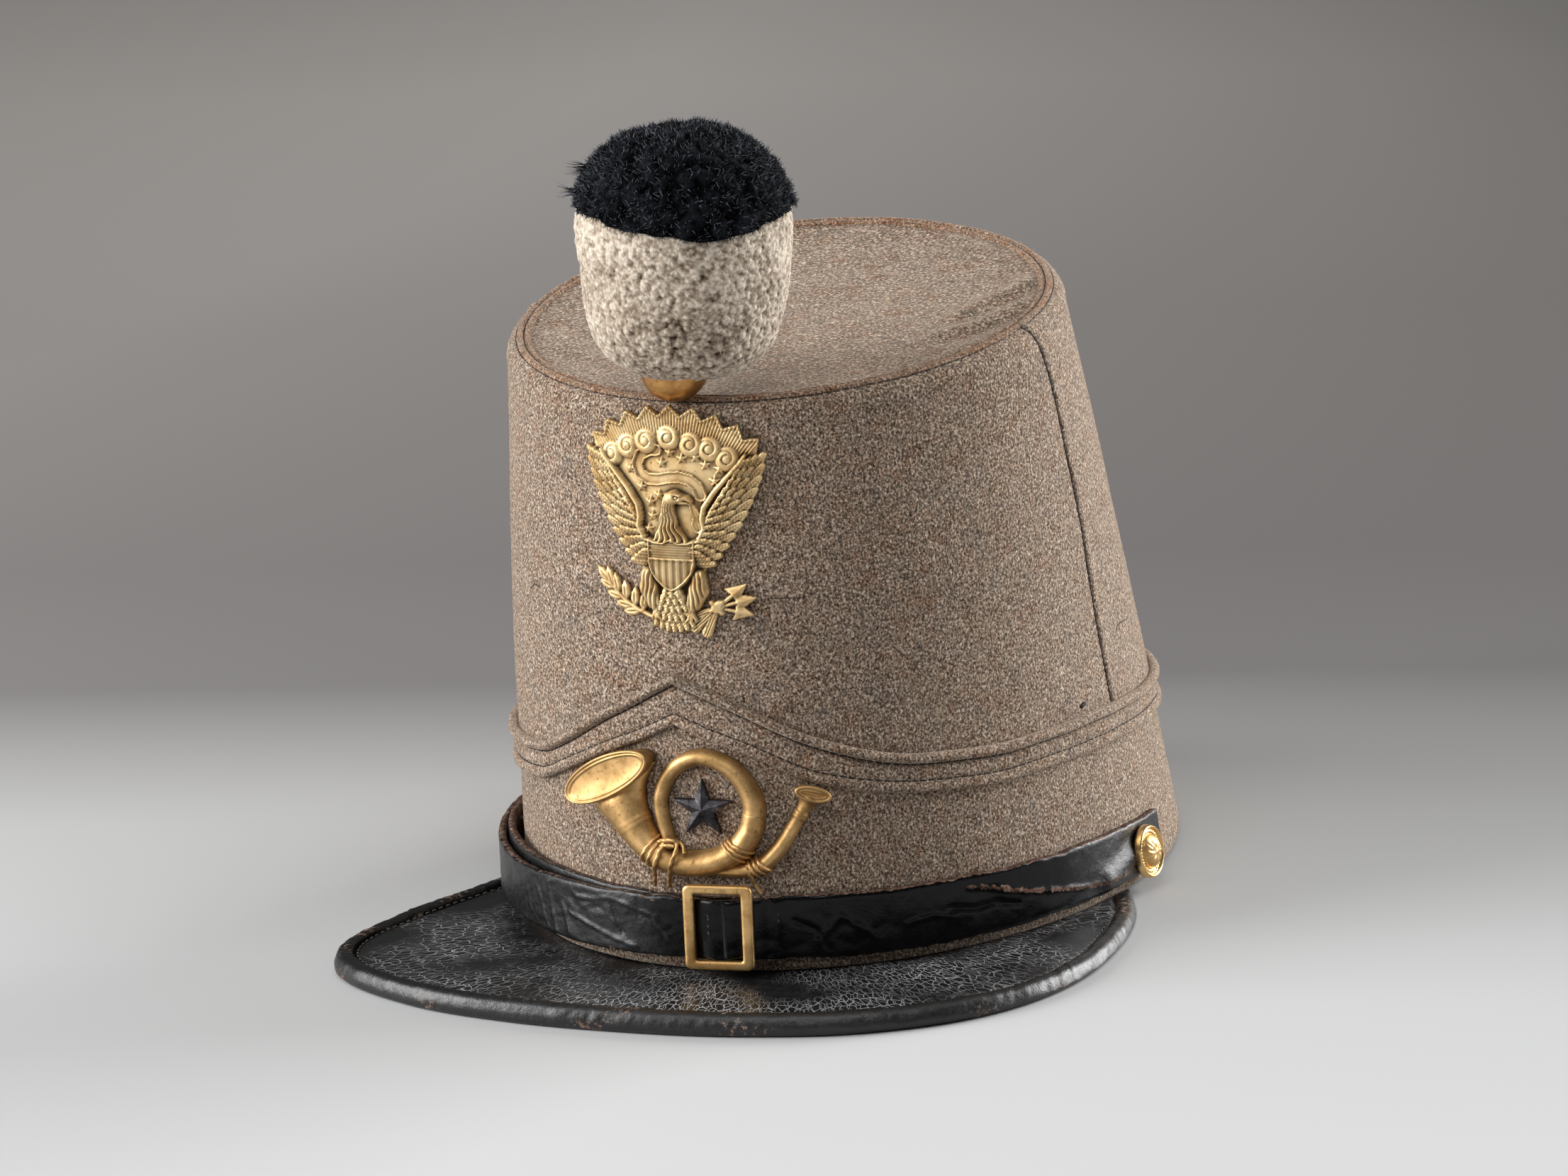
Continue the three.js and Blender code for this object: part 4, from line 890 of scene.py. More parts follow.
# %% Strap
STRAP_THICK = 1.8
STRAP_WIDE = 15
ROUND_EDGE = 0.05  # shares of the width
RAW_EDGE = 0.045
STRAP_LEVEL = 9.0
STRAP_STEP = 0.6
STRAP_LIFT = 0.9
STRAP_FACE = np.concatenate([[0, 0.012, 0.04], np.linspace(0.08, 0.92, 25), [0.96, 0.988, 1]])
STRAP_BACK = np.linspace(1, 0, 5)
GATHER = {"arc": -26, "width": 26}  # where the slide has rucked the strap
STRAP_FRONT = table(
    "arc low high off",
    (151, 2.2, 15.4, 0.4), (142, 2, 16, 0.5), (100, 1.7, 17, 0.5), (40, 2.0, 18, 0.5),
    (26.5, 2.5, 18.1, 0.8), (20, 2.9, 18.1, 2.8), (16.3, 2.9, 18.1, 2.9), (10.6, 2.9, 18.1, 4.2),
    (4.8, 2.9, 18.1, 2.9), (-6, 2.8, 18, 2.8), (-30, 2.5, 17.6, 3.2), (-60, 2.2, 16.8, 4.4),
    (-90, 2.4, 16.8, 4.6), (-120, 2.4, 16.4, 3.6), (-142, 2, 16, 2.7), (-153, 2.6, 15.6, 2.6),
)
STRAP_UNDER = table(
    "arc low high off",
    (14.5, 2.9, 18, 0.4), (-6, 2.9, 18.1, 0.4), (-30, 3.2, 18.6, 0.6), (-60, 4, 19.2, 1.8),
    (-90, 4, 19.2, 2), (-120, 3, 17.6, 1.1), (-142, 2.4, 16.4, 0.4), (-153, 2.8, 15.8, 0.4),
)
CREASES = table(
    "line width rise",
    ([(-32, 9.6), (-24.6, 7.8), (-16.5, 5.6), (-10.8, 4.4)], 0.45, 0.4),
    ([(-29, 14.2), (-24.2, 14.6), (-18.6, 15.8), (-13.5, 15), (-10.5, 13.8), (-4.7, 12.6)], 0.38, 0.35),
    ([(-10.5, 13.8), (-6.4, 11.2), (-3.1, 7.9)], 0.5, -0.3),
    ([(-17.4, 14), (-16.3, 11), (-14.5, 7.2)], 0.5, -0.35),
    ([(-27, 12.4), (-23, 10.6), (-19, 11.4), (-15, 8.8)], 0.4, 0.16),
    ([(-34.6, 11.6), (-32.5, 6.4), (-31.8, 3.4)], 0.5, 0.4),
    ([(-40.3, 15.4), (-38.7, 9), (-37.2, 3)], 0.5, 0.35),
    ([(-45, 13), (-42.5, 7), (-41, 3.6)], 0.45, 0.28), ([(-52, 14), (-49, 6)], 0.55, 0.25),
    ([(33.8, 6.9), (39, 12.6), (48.1, 5.6)], 0.8, 0.2), ([(28, 12), (33, 9.4), (36, 4)], 0.6, -0.22),
    ([(67, 10.4), (74, 9), (79, 9.4), (86, 7.6)], 0.6, -0.45),
    ([(55, 8.5), (62, 9.5), (68, 8)], 0.5, 0.25), ([(119, 5.4), (131, 7.6)], 3.2, 1.3),
    ([(11.2, 3), (11, 18)], 0.7, -0.7), ([(13.6, 3), (13.4, 18)], 1.3, 0.5),
    ([(21.8, 2.8), (21.8, 18)], 1.0, -0.5), ([(24, 2.8), (24, 18)], 0.5, 0.45),
)
TEAR = [(72, 15), (80, 13.2), (87, 10.7), (96.6, 8.6), (109, 6), (118, 4.9), (128, 5)]
CUT_EDGES = [[(8, 9.4), (8, 14.4)], [(24.2, 11.6), (24.2, 15)], [(24.2, 5), (24.2, 6.6)],
             [(-9.5, 17.6), (-5.5, 16.8)], [(-21, 3), (-15, 3)]]


def line_distance(line, x, y):
    """Distance from points to a line through corners."""
    nearest = np.full(np.shape(x), 1e9)
    for (x0, y0), (x1, y1) in zip(line[:-1], line[1:]):
        run_x, run_y = x1 - x0, y1 - y0
        share = np.clip(((x - x0) * run_x + (y - y0) * run_y) / (run_x ** 2 + run_y ** 2), 0, 1)
        nearest = np.minimum(nearest, np.hypot(x - x0 - share * run_x, y - y0 - share * run_y))
    return nearest


def strap(name, rows, creased):
    """One strap: its face with rounded edges and creases, and its plain back."""
    low, high, off = (table_curve(rows, "arc", column) for column in ("low", "high", "off"))
    arcs = np.arange(rows[0]["arc"], rows[-1]["arc"], -STRAP_STEP)
    turn = angle_at(arcs, np.full(len(arcs), STRAP_LEVEL))
    shares = np.concatenate([STRAP_FACE, STRAP_BACK])
    on_face = np.arange(len(shares)) < len(STRAP_FACE)
    arc, share = np.meshgrid(arcs, shares, indexing="ij")
    spot = np.stack([arc, share * STRAP_WIDE], axis=-1)
    side = np.sign(share - 0.5)
    at_edge = np.clip(np.abs(share - 0.5) * 20 - 9, 0, 1)
    along_edge = (arc + 60 * side)[..., None]
    chips = 0.35 * np.minimum(noise(along_edge, 2.1, 18), 0) * at_edge * side
    height = low(arc) + (high(arc) - low(arc)) * share + chips + 0.2 * noise(along_edge, 9, 19) * at_edge
    from_edge = np.minimum(share, 1 - share)
    inside = np.clip(from_edge / ROUND_EDGE, 0, 1)
    lift = layered(spot, (0.07, 5, 20), (0.03, 1.8, 21))
    raw = np.where(on_face[None, :], 1 - np.clip(from_edge / RAW_EDGE, 0, 1), 1.4)
    if creased:
        gathered = bell(arc - GATHER["arc"], GATHER["width"])
        along, across = spot[..., 0], spot[..., 1]
        ruck = np.stack([along * 0.8 + across * 0.5, across * 1.2 - along * 0.45], axis=-1)
        rucks = 0.26 * np.abs(noise(ruck, 2.6, 22)) + 0.12 * np.abs(noise(ruck, 1.3, 39)) - 0.1
        lift = lift + gathered * rucks
        lift = lift + 0.15 * np.abs(noise(ruck, 6, 23))
        for row in CREASES:
            lift = lift + row["rise"] * bell(line_distance(row["line"], arc, height), row["width"])
        tear = line_distance(TEAR, arc, height)
        ragged = tear + 0.9 * np.abs(noise(spot, 1.7, 24))
        lift = lift + 0.35 * bell(tear, 0.7) * (0.7 + 0.3 * noise(spot, 2.2, 25))
        raw = np.maximum(raw, 1.05 * bell(ragged, 1.5) * on_face)
        for line in CUT_EDGES:
            raw = np.maximum(raw, 1.5 * bell(line_distance(line, arc, height), 0.45) * on_face)
    stand = off(arc) + np.where(on_face, STRAP_THICK - 0.25 * (1 - inside) ** 2 + lift * inside, 0.0)
    points = off_wall(np.broadcast_to(turn[:, None], arc.shape), height + STRAP_LIFT, stand)
    lay = np.stack([arc, height, stand], axis=-1)
    rub = np.clip((2 - arc) / 16, 0, 1) + np.clip((arc - 100) / 20, 0, 0.8)
    raw = raw * (1 + 0.35 * np.clip((-arc - 45) / 20, 0, 1) + 0.5 * np.clip((arc - 25) / 25, 0, 1))
    return loft(name, points, strap_leather, marks={"lay": lay, "raw": raw, "rub": rub})


dress(strap("chin_strap_long", STRAP_FRONT, creased=True), "strap_leather", "strap_front")
dress(strap("chin_strap_doubled", STRAP_UNDER, creased=False), "strap_leather", "strap_under")
print("strap length in mm:", STRAP_FRONT[0]["arc"] - STRAP_FRONT[-1]["arc"])

# %% [markdown]
# ## Brass
# Struck and cast brass goes brown in its hollows and stays yellow where hands and cloth rub it. A cavity
# mark on the mesh, or plain noise where there is none, darkens the hollows; on whole forms of the eagle
# and on the horn's tubes towards the plate, the same mark paints shade. The gilt of the buttons and the
# cup is the same metal with a bright, smooth skin. A metal keeps the default IOR, and its base colour is
# its reflection.

# %% Metal materials
def aged_brass(name, bright, dull, dark, rough, pitted):
    """Brass with a skin that is duller or brighter in soft patches, darker in its hollows and pits, and
    darker where its mark paints shade.
    """
    material, node, shader = new_material(name, metallic=1.0)
    place = node("TexCoord").outputs["Object"]
    hollow = node("Attribute", attribute_name="hollow").outputs["Fac"]
    clouds = node("TexNoise", {"Vector": place, "Scale": per_mm(6), "Detail": 6.0, "Roughness": 0.65})
    skin = node("ValToRGB", {"Fac": clouds}, [(0.36, dull), (0.6, bright)])
    pits = node("TexNoise", {"Vector": place, "Scale": per_mm(1.3), "Detail": 3.0})
    spots = node("MapRange", {"Value": pits, "From Min": 0.7, "From Max": 0.62, "To Min": pitted,
                              "To Max": 0.0})
    shade = node("Math", {0: spots, 1: hollow}, operation="MAXIMUM")
    colour = node("Mix", {"Factor": shade, "A": skin, "B": linear(dark)}, data_type="RGBA")
    gloss = node("MapRange", {"Value": clouds, "From Min": 0.3, "From Max": 0.7, "To Min": rough + 0.1,
                              "To Max": rough - 0.06})
    dulled = node("Math", {0: shade, 1: 0.35, 2: gloss}, operation="MULTIPLY_ADD")
    bump = node("Bump", {"Height": pits, "Strength": 0.12, "Distance": 0.2 * MM})
    set_inputs(shader, {"Base Color": colour, "Roughness": dulled, "Normal": bump})
    return material


BRASSES = table(
    "name bright dull dark rough pitted",
    ("struck_brass", "#ecd2a2", "#ceac78", "#3a2614", 0.57, 0.45),
    ("horn_brass", "#dab27a", "#a68454", "#33220f", 0.5, 0.35),
    ("buckle_brass", "#ecc486", "#bd935c", "#3e2a18", 0.4, 0.4),
    ("gilt_brass", "#f6cf90", "#e0b06c", "#5a3614", 0.27, 0.15),
    ("worn_gilt_brass", "#d3a264", "#9f6f40", "#4a2c14", 0.36, 0.5),
)
struck_brass, horn_brass, buckle_brass, gilt_brass, cup_brass = (aged_brass(**row) for row in BRASSES)

# %% [markdown]
# ## Slide buckle and side buttons
# The slide is a flat brass frame with softened edges. Its outline and its window are rounded rectangles
# with matching points, so one section with rounded corners can be carried round between them. The buttons
# are discs worked out in polar steps: a raised rim, a ring of dots and a dome with a leafy rosette.

# %% Slide buckle
BUCKLE = {"arc": 10.6, "height": 12.2, "width": 17.5, "tall": 21.3, "side": 2.8, "end": 2.3, "off": 4.7,
          "corner": 1.6, "window_corner": 0.6}
DENT = {"x": 1.6, "y": 9.5, "wide": 1.3, "tall": 0.7, "deep": 0.75}


def seat(points, angle, height, off):
    """Sets a flat piece on the wall: x round it, y up it, z out of it."""
    place = wall_frame(np.array([angle]), np.array([height]) / slant(angle))
    origin, along, upward, outward = (vectors[0] for vectors in place)
    points = np.asarray(points, float)
    return origin + points[..., :1] * along + points[..., 1:2] * upward + (points[..., 2:] + off) * outward


def round_rectangle(half_width, half_tall, corner, straight=16, turn=7):
    """A closed outline whose points pair with those of any other such rectangle."""
    outline = []
    for quarter, (side_x, side_y) in enumerate(((1, 1), (-1, 1), (-1, -1), (1, -1))):
        turns = math.pi / 2 * (quarter + np.linspace(0, 1, turn))
        middle = np.array([side_x * (half_width - corner), side_y * (half_tall - corner)])
        arc = middle + corner * np.stack([np.cos(turns), np.sin(turns)], axis=1)
        outline.append(arc)
    joined = []
    for here, following in zip(outline, outline[1:] + outline[:1]):
        joined.append(here)
        share = np.linspace(0, 1, straight)[1:-1, None]
        joined.append(here[-1] + (following[0] - here[-1]) * share)
    return np.concatenate(joined)


half_wide, half_tall = BUCKLE["width"] / 2, BUCKLE["tall"] / 2
outside = round_rectangle(half_wide, half_tall, BUCKLE["corner"])
window = round_rectangle(half_wide - BUCKLE["side"], half_tall - BUCKLE["end"], BUCKLE["window_corner"])
FRAME_SECTION = [(0, 0.25), (0, 1.2), (0.06, 1.55), (0.16, 1.74), (0.35, 1.8), (0.65, 1.8), (0.84, 1.74),
                 (0.94, 1.55), (1, 1.2), (1, 0.25), (0.92, 0), (0.08, 0)]
rings = []
for share, z in FRAME_SECTION:
    flat = window + (outside - window) * share
    rings.append(np.column_stack([flat, z + 0.07 * noise(flat, 3.5, 26)]))
rings = np.swapaxes(np.array(rings), 0, 1)
from_x, from_y = (rings[..., 0] - DENT["x"]) / DENT["wide"], (rings[..., 1] - DENT["y"]) / DENT["tall"]
dent = DENT["deep"] * np.exp(-from_x ** 2 - from_y ** 2)
buckle_angle = float(angle_at(BUCKLE["arc"], BUCKLE["height"]))
seated = seat(rings, buckle_angle, BUCKLE["height"], BUCKLE["off"])
buckle = loft("slide_buckle", seated, buckle_brass, closed=True, marks={"hollow": dent})
dress(buckle, "worn_brass", "buckle")

# %% Side buttons
BUTTON = {"radius": 7.2, "boss": 0.18, "dot_ring": 0.755, "dot_radius": 0.45, "dot_rise": 0.4}
BUTTON_RINGS = 46
BUTTON_SECTORS = 120
BUTTON_PROFILE = table(
    "r z",
    (0.0, 3.6), (0.3, 3.4), (0.5, 2.9), (0.61, 2.2), (0.66, 1.5), (0.74, 1.45), (0.82, 1.4),
    (0.87, 2.0), (0.925, 2.3), (0.98, 1.8), (1.0, 0.9),
)
BUTTON_UNDER = [(1.0, 0.5), (0.9, 0.0), (0.05, 0.0)]  # share of the radius, height
DOTS = 36
PETALS = 8
button_profile = table_curve(BUTTON_PROFILE, "r", "z")


def button(name, angle, height, stand):
    """A domed button with a raised rim, a ring of dots and a rosette."""
    share = np.concatenate([np.linspace(0.01, 0.84, BUTTON_RINGS), np.linspace(0.86, 1, 8)])
    turn = full_turn(BUTTON_SECTORS)
    r, a = np.meshgrid(share, turn, indexing="ij")
    z = button_profile(r)
    bead = ((a * DOTS / math.tau + 0.5) % 1 - 0.5) * math.tau / DOTS * 0.75 * BUTTON["radius"]
    dot = np.hypot((r - BUTTON["dot_ring"]) * BUTTON["radius"] * 0.72, bead)
    leaf = 0.2 * np.abs(np.cos(a * PETALS / 2)) * bell(r - 0.34, 0.14)
    vein = 0.07 * np.sin(a * PETALS * 2 + 9 * r) * bell(r - 0.42, 0.16)
    boss = BUTTON["boss"] * bell(r, 0.1)
    dots = BUTTON["dot_rise"] * np.sqrt(np.clip(1 - (dot / BUTTON["dot_radius"]) ** 2, 0, 1))
    relief = dots + leaf + vein + boss
    z = z + relief
    flat = np.stack([r * np.cos(a) * BUTTON["radius"], r * np.sin(a) * BUTTON["radius"], z], axis=-1)
    under = [np.stack([s * np.cos(turn) * BUTTON["radius"], s * np.sin(turn) * BUTTON["radius"],
                       0 * turn + h], axis=-1) for s, h in BUTTON_UNDER]
    rings = np.concatenate([flat, np.array(under)])
    hollow = np.concatenate([np.clip(0.35 - relief * 1.6, 0, 0.35) * (r > 0.05) * (r < 0.84),
                             np.zeros((len(BUTTON_UNDER), BUTTON_SECTORS))])
    seated = seat(rings, angle, height, stand + STRAP_THICK + GAP)
    return loft(name, seated, gilt_brass, marks={"hollow": hollow})


BUTTONS = table(
    "name node deg height stand",
    ("gilt_button_left", "button_left", 88.2, 8.2, 0.5),
    ("gilt_button_right", "button_right", -90, 9.0, 2.7),
)
for row in BUTTONS:
    domed = button(row["name"], math.radians(row["deg"]), row["height"], row["stand"])
    dress(domed, "gilt_brass", row["node"])

# %% [markdown]
# ## The struck eagle plate
# The upper badge is thin sheet brass struck between dies: a sunburst with scrolled clouds, stars and a
# bare ribbon, and an eagle with spread wings, a striped shield, a branch and tied arrows. A die cutter
# works by raising one simple form after another, and so does this relief. Each form is a distance on one
# fine flat grid: inside the form the distance is turned into a dome, a ridge or a flat with a rim, and
# the highest form wins. The grid is then cut along the outline, given a back and a rim, and bent round
# the wall. Sculpting by hand could give the same, but distances keep every size in a table.

# %% Relief tools
RELIEF_STEP = 0.2


def polygon_distance(corners, x, y):
    """Distance to an outline, negative inside it."""
    ring = list(corners) + [corners[0]]
    inside = np.zeros(np.shape(x), bool)
    for (x0, y0), (x1, y1) in zip(ring[:-1], ring[1:]):
        if y0 != y1:
            inside ^= ((y0 > y) != (y1 > y)) & (x < x0 + (x1 - x0) * (y - y0) / (y1 - y0))
    away_from = line_distance(ring, x, y)
    return np.where(inside, -away_from, away_from)


def taper_distance(rows, x, y):
    """Distance to a stroke through rows of x, y and half width, negative inside it."""
    nearest = np.full(np.shape(x), 1e9)
    for (x0, y0, half0), (x1, y1, half1) in zip(rows[:-1], rows[1:]):
        run_x, run_y = x1 - x0, y1 - y0
        share = np.clip(((x - x0) * run_x + (y - y0) * run_y) / (run_x ** 2 + run_y ** 2), 0, 1)
        here = np.hypot(x - x0 - share * run_x, y - y0 - share * run_y) - (half0 + (half1 - half0) * share)
        nearest = np.minimum(nearest, here)
    return nearest


def dome(distance, width):
    """0 at an outline, rising as a quarter round to 1 at width inside it."""
    return np.sqrt(1 - np.clip(1 + distance / width, 0, 1) ** 2)


def soft_step(value, low, high):
    share = np.clip((value - low) / (high - low), 0, 1)
    return share * share * (3 - 2 * share)


def between(start, end, share):
    return tuple(a + (b - a) * share for a, b in zip(start, end))


def blurred(field, cells):
    """A field averaged over a square window, twice over."""
    for _ in range(2):
        for axis in (0, 1):
            margins = [(cells + 1, cells) if axis == k else (0, 0) for k in (0, 1)]
            total = np.cumsum(np.pad(field, margins, mode="edge"), axis=axis)
            width = 2 * cells + 1
            field = (np.take(total, range(width, total.shape[axis]), axis)
                     - np.take(total, range(total.shape[axis] - width), axis)) / width
    return field


class Relief:
    """A flat field of heights, and how far each point lies from the outline of all forms."""

    def __init__(self, x_range, y_range):
        places = [np.arange(*span, RELIEF_STEP) for span in (x_range, y_range)]
        self.x, self.y = np.meshgrid(*places, indexing="ij")
        self.height = np.zeros(self.x.shape)
        self.edge = np.full(self.x.shape, 1e9)
        # dull darkens a whole form towards the dark brass colour: painted shade on forms that lie in shade,
        # and tarnish
        self.dull = np.zeros(self.x.shape)

    def put(self, distance, height, outline=True, dull=0.0):
        """Raises what lies inside a form to its height with its darkening, painted shade and tarnish, and
        may widen the outline by it.
        """
        higher = (distance < 0) & (height > self.height)
        self.height = np.where(higher, height, self.height)
        self.dull = np.where(higher, dull, self.dull)
        if outline:
            self.edge = np.minimum(self.edge, distance)

    def mound(self, distance, base, rise, width, **how):
        """Puts a form whose edge is a quarter round of some width, from a base height up."""
        self.put(distance, base + rise * dome(distance, width), **how)

    def piece(self, name, place, material):
        """Cuts the field along its outline, adds back and rim, and sets every point with place(x, y, z)."""
        x, y, edge = self.x, self.y, self.edge
        middle = (edge[1:, 1:] + edge[:-1, 1:] + edge[1:, :-1] + edge[:-1, :-1]) / 4
        kept = np.pad(middle < 0, 1)
        number = np.arange(x.size).reshape(x.shape)
        i, j = np.nonzero(kept[1:-1, 1:-1])
        front = np.stack([number[i, j], number[i + 1, j], number[i + 1, j + 1], number[i, j + 1]], axis=1)
        sides = []
        for step_i, step_j, a, b in ((-1, 0, 3, 0), (1, 0, 1, 2), (0, -1, 0, 1), (0, 1, 2, 3)):
            alone = ~kept[i + 1 + step_i, j + 1 + step_j]
            sides.append(front[alone][:, [a, b]])
        sides = np.concatenate(sides)
        slope_x, slope_y = np.gradient(edge, RELIEF_STEP)
        rim = np.zeros(x.size, bool)
        rim[sides.ravel()] = True
        rim = rim.reshape(x.shape)
        most = 1.5 * RELIEF_STEP
        pull = np.where(rim, np.clip(edge, -most, most), 0)
        pull = pull / np.maximum(slope_x ** 2 + slope_y ** 2, 0.3)
        x, y = x - pull * slope_x, y - pull * slope_y
        lower = np.maximum(blurred(self.height, 2) - self.height,
                           0.45 * (blurred(self.height, 6) - self.height))
        # the hollows darken as brown patina; each form's dull adds painted shade and tarnish
        hollow = np.clip(lower * 2.6 - 0.05 + self.dull, 0, 0.9)
        used, order = np.unique(front, return_inverse=True)
        front, count = order.reshape(front.shape), len(used)
        sides = np.searchsorted(used, sides)
        top = place(x.ravel()[used], y.ravel()[used], self.height.ravel()[used])
        base = place(x.ravel()[used], y.ravel()[used], np.zeros(count))
        walls = np.stack([sides[:, 1], sides[:, 0], sides[:, 0] + count, sides[:, 1] + count], axis=1)
        faces = np.concatenate([front, front[:, ::-1] + count, walls])
        marks = {"hollow": np.concatenate([hollow.ravel()[used], np.full(count, 0.6)])}
        points = np.concatenate([top, base])
        return new_piece(name, points, outward_faces(points, faces), material, marks)


# %% Sunburst, clouds, stars and ribbon
EAGLE = {"arc": 1.5, "height": 85.2, "plate": 0.9}
RAYS = {"count": 9, "half_deg": 39.5, "radius": 34.6, "centre": 20.9, "valley": 2.5, "lines": 7,
        "inner": 25.5}
WING_EDGE = [(21.2, 43), (18.6, 36), (15.9, 29.2), (12.1, 22), (8.6, 16.4)]
BODY_EDGE = [(7.6, 13.2), (6.6, 6.4), (4.2, 1.4)]
CLOUDS = [(-15.7, 42.6, -1), (-11.2, 44.9, -1), (-6.2, 46.4, -1), (-0.2, 47.5, 1), (5.4, 46, 1),
          (10, 45, 1), (14.2, 42.6, 1)]
CLOUD_RADIUS = 3.2
CLOUD_PITCH = 3.4
CLOUD_BALL = 1.25
RIBBON = [(-3.4, 44.4), (-5.2, 44.3), (-7.6, 43), (-8.6, 40.8), (-7.8, 38.4), (-5.6, 37.2), (-3, 37.2),
          (-0.4, 37.8), (2.2, 38), (4.8, 37.4), (6.8, 35.8), (7.6, 33.6)]
RIBBON_END = [(5, 31.6, 0.5), (5.9, 29.6, 1.0), (6.6, 28.2, 1.1), (6.2, 26.4, 1.1), (6.6, 25.2, 0.9)]
SKY_STARS = [(-10.5, 39.5), (-2.1, 41.3), (-7.5, 35.2), (-2.9, 33.4), (-5.2, 31.6), (-4.8, 28.2),
             (-5.9, 25), (0.1, 43.9), (3.1, 42.6), (6.6, 43), (9, 41.2), (12.4, 40.2), (11.2, 37.2)]
STAR_RADIUS = 1.6

eagle = Relief((-24, 24), (-2, 58))
x, y = eagle.x, eagle.y
plate = EAGLE["plate"]
pitch = 2 * RAYS["half_deg"] / (RAYS["count"] - 1)
crest = []
for i in range(2 * RAYS["count"] - 1):
    bearing = math.radians(RAYS["half_deg"] - i * pitch / 2)
    tip = RAYS["radius"] - RAYS["valley"] * (i % 2)
    crest.append((tip * math.sin(bearing), RAYS["centre"] + tip * math.cos(bearing)))
left_edge = [(-a, b) for a, b in WING_EDGE + BODY_EDGE]
outline = crest + left_edge + [(0, 0)] + [(-a, b) for a, b in left_edge[::-1]]
from_outline = polygon_distance(outline, x, y)
eagle.mound(from_outline, plate, rise=0.15, width=0.4)

bearing = np.degrees(np.arctan2(x, y - RAYS["centre"]))
radius = np.hypot(x, y - RAYS["centre"])
in_rays = soft_step(radius, RAYS["inner"], RAYS["inner"] + 0.6) * (np.abs(bearing) < RAYS["half_deg"] + 1)
grooves = 0.5 + 0.5 * np.cos(math.tau * (bearing / pitch * RAYS["lines"] + 0.5))
zigzag = line_distance(crest, x, y)
eagle.put(from_outline, plate + in_rays * (0.5 * grooves + 0.5 * soft_step(-zigzag, -0.75, -0.4)))

# the clouds' dull is painted shade
for cloud_x, cloud_y, turn in CLOUDS:
    reach, around = np.hypot(x - cloud_x, y - cloud_y), np.arctan2(y - cloud_y, turn * (x - cloud_x))
    wound = reach / CLOUD_PITCH - (around + 2.2) / math.tau
    arm = np.sqrt(1 - (2 * (wound % 1) - 1) ** 2)
    arm = np.where(reach < CLOUD_BALL, dome(reach - CLOUD_BALL, CLOUD_BALL), arm)
    cloud = reach - CLOUD_RADIUS
    eagle.put(cloud, plate + dome(cloud, 2.0) * (0.75 + 0.65 * arm), dull=0.14)

for star_x, star_y in SKY_STARS:
    reach, around = np.hypot(x - star_x, y - star_y), np.arctan2(x - star_x, y - star_y)
    fold = np.abs((around / (math.tau / 5) + 0.5) % 1 - 0.5) * 2
    limit = STAR_RADIUS / (1 + 1.4 * fold)
    eagle.put(reach - limit, plate + 0.4 + 0.8 * np.clip(1.1 - reach / limit, 0, 1), outline=False)

ribbon = line_distance(RIBBON, x, y) - 1.45
eagle.put(ribbon, plate + 0.3 + 0.65 * soft_step(ribbon, -0.55, -0.3), outline=False, dull=0.12)
ribbon_end = taper_distance(RIBBON_END, x, y)
eagle.put(ribbon_end, plate + 0.4 + 0.35 * soft_step(ribbon_end, -0.5, -0.3), outline=False)

# %% Wings and body feathers
WING_INNER = [(17.4, 42.6), (14.2, 38.6), (11.4, 35), (9.2, 31.6), (8.2, 28.4), (8.2, 25.4), (6.8, 22.6),
              (6.2, 19.6)]
WING_OUTER = [(23.4, 44.9), (22.9, 40.6), (21.4, 36), (19.6, 31.5), (17.5, 27.1), (15, 22.8), (12.3, 18.8),
              (9.8, 15.4)]
FEATHER_DEGS = [58, 53, 47, 41, 33, 23, 10, -6]
LEADING_EDGE = [(18.6, 43.6, 0.4), (17, 41.4, 0.55), (11.2, 34.9, 0.65), (8.4, 30.8, 0.7), (7.9, 28, 0.7),
                (8.3, 25.6, 0.65), (7, 23, 0.5)]
WING_ROWS = table(
    "feathers inset length half lift",
    (11, 0.0, 9.0, 1.3, 0.2), (11, 0.28, 6.8, 1.15, 0.5), (12, 0.52, 5.0, 0.95, 0.75),
    (13, 0.72, 3.8, 0.8, 0.95),
)
wing_share = np.linspace(0, 1, len(WING_OUTER))


def feather(root, tip, half, base, tilt=0.0):
    """One feather: a rounded blade with a midrib and slanting barbs, tilted to one edge."""
    run = np.subtract(tip, root)
    length = np.hypot(*run)
    along = ((x - root[0]) * run[0] + (y - root[1]) * run[1]) / length
    across = ((x - root[0]) * run[1] - (y - root[1]) * run[0]) / length
    rows = [(*root, half * 0.4), (*between(root, tip, 0.65), half), (*between(root, tip, 0.92), half * 0.6)]
    distance = taper_distance(rows, x, y)
    barbs = 0.07 * np.cos(math.tau * (along - 0.9 * np.abs(across)) / 0.85)
    rib = 0.16 * bell(across, 0.2)
    blade = base + 0.5 * dome(distance, 0.4) + tilt * across / half + (barbs + rib) * (distance < -0.15)
    return distance, blade + 0.35 * along / length


def along_wing(edge, share):
    return np.array([np.interp(share, wing_share, column) for column in np.transpose(edge)])


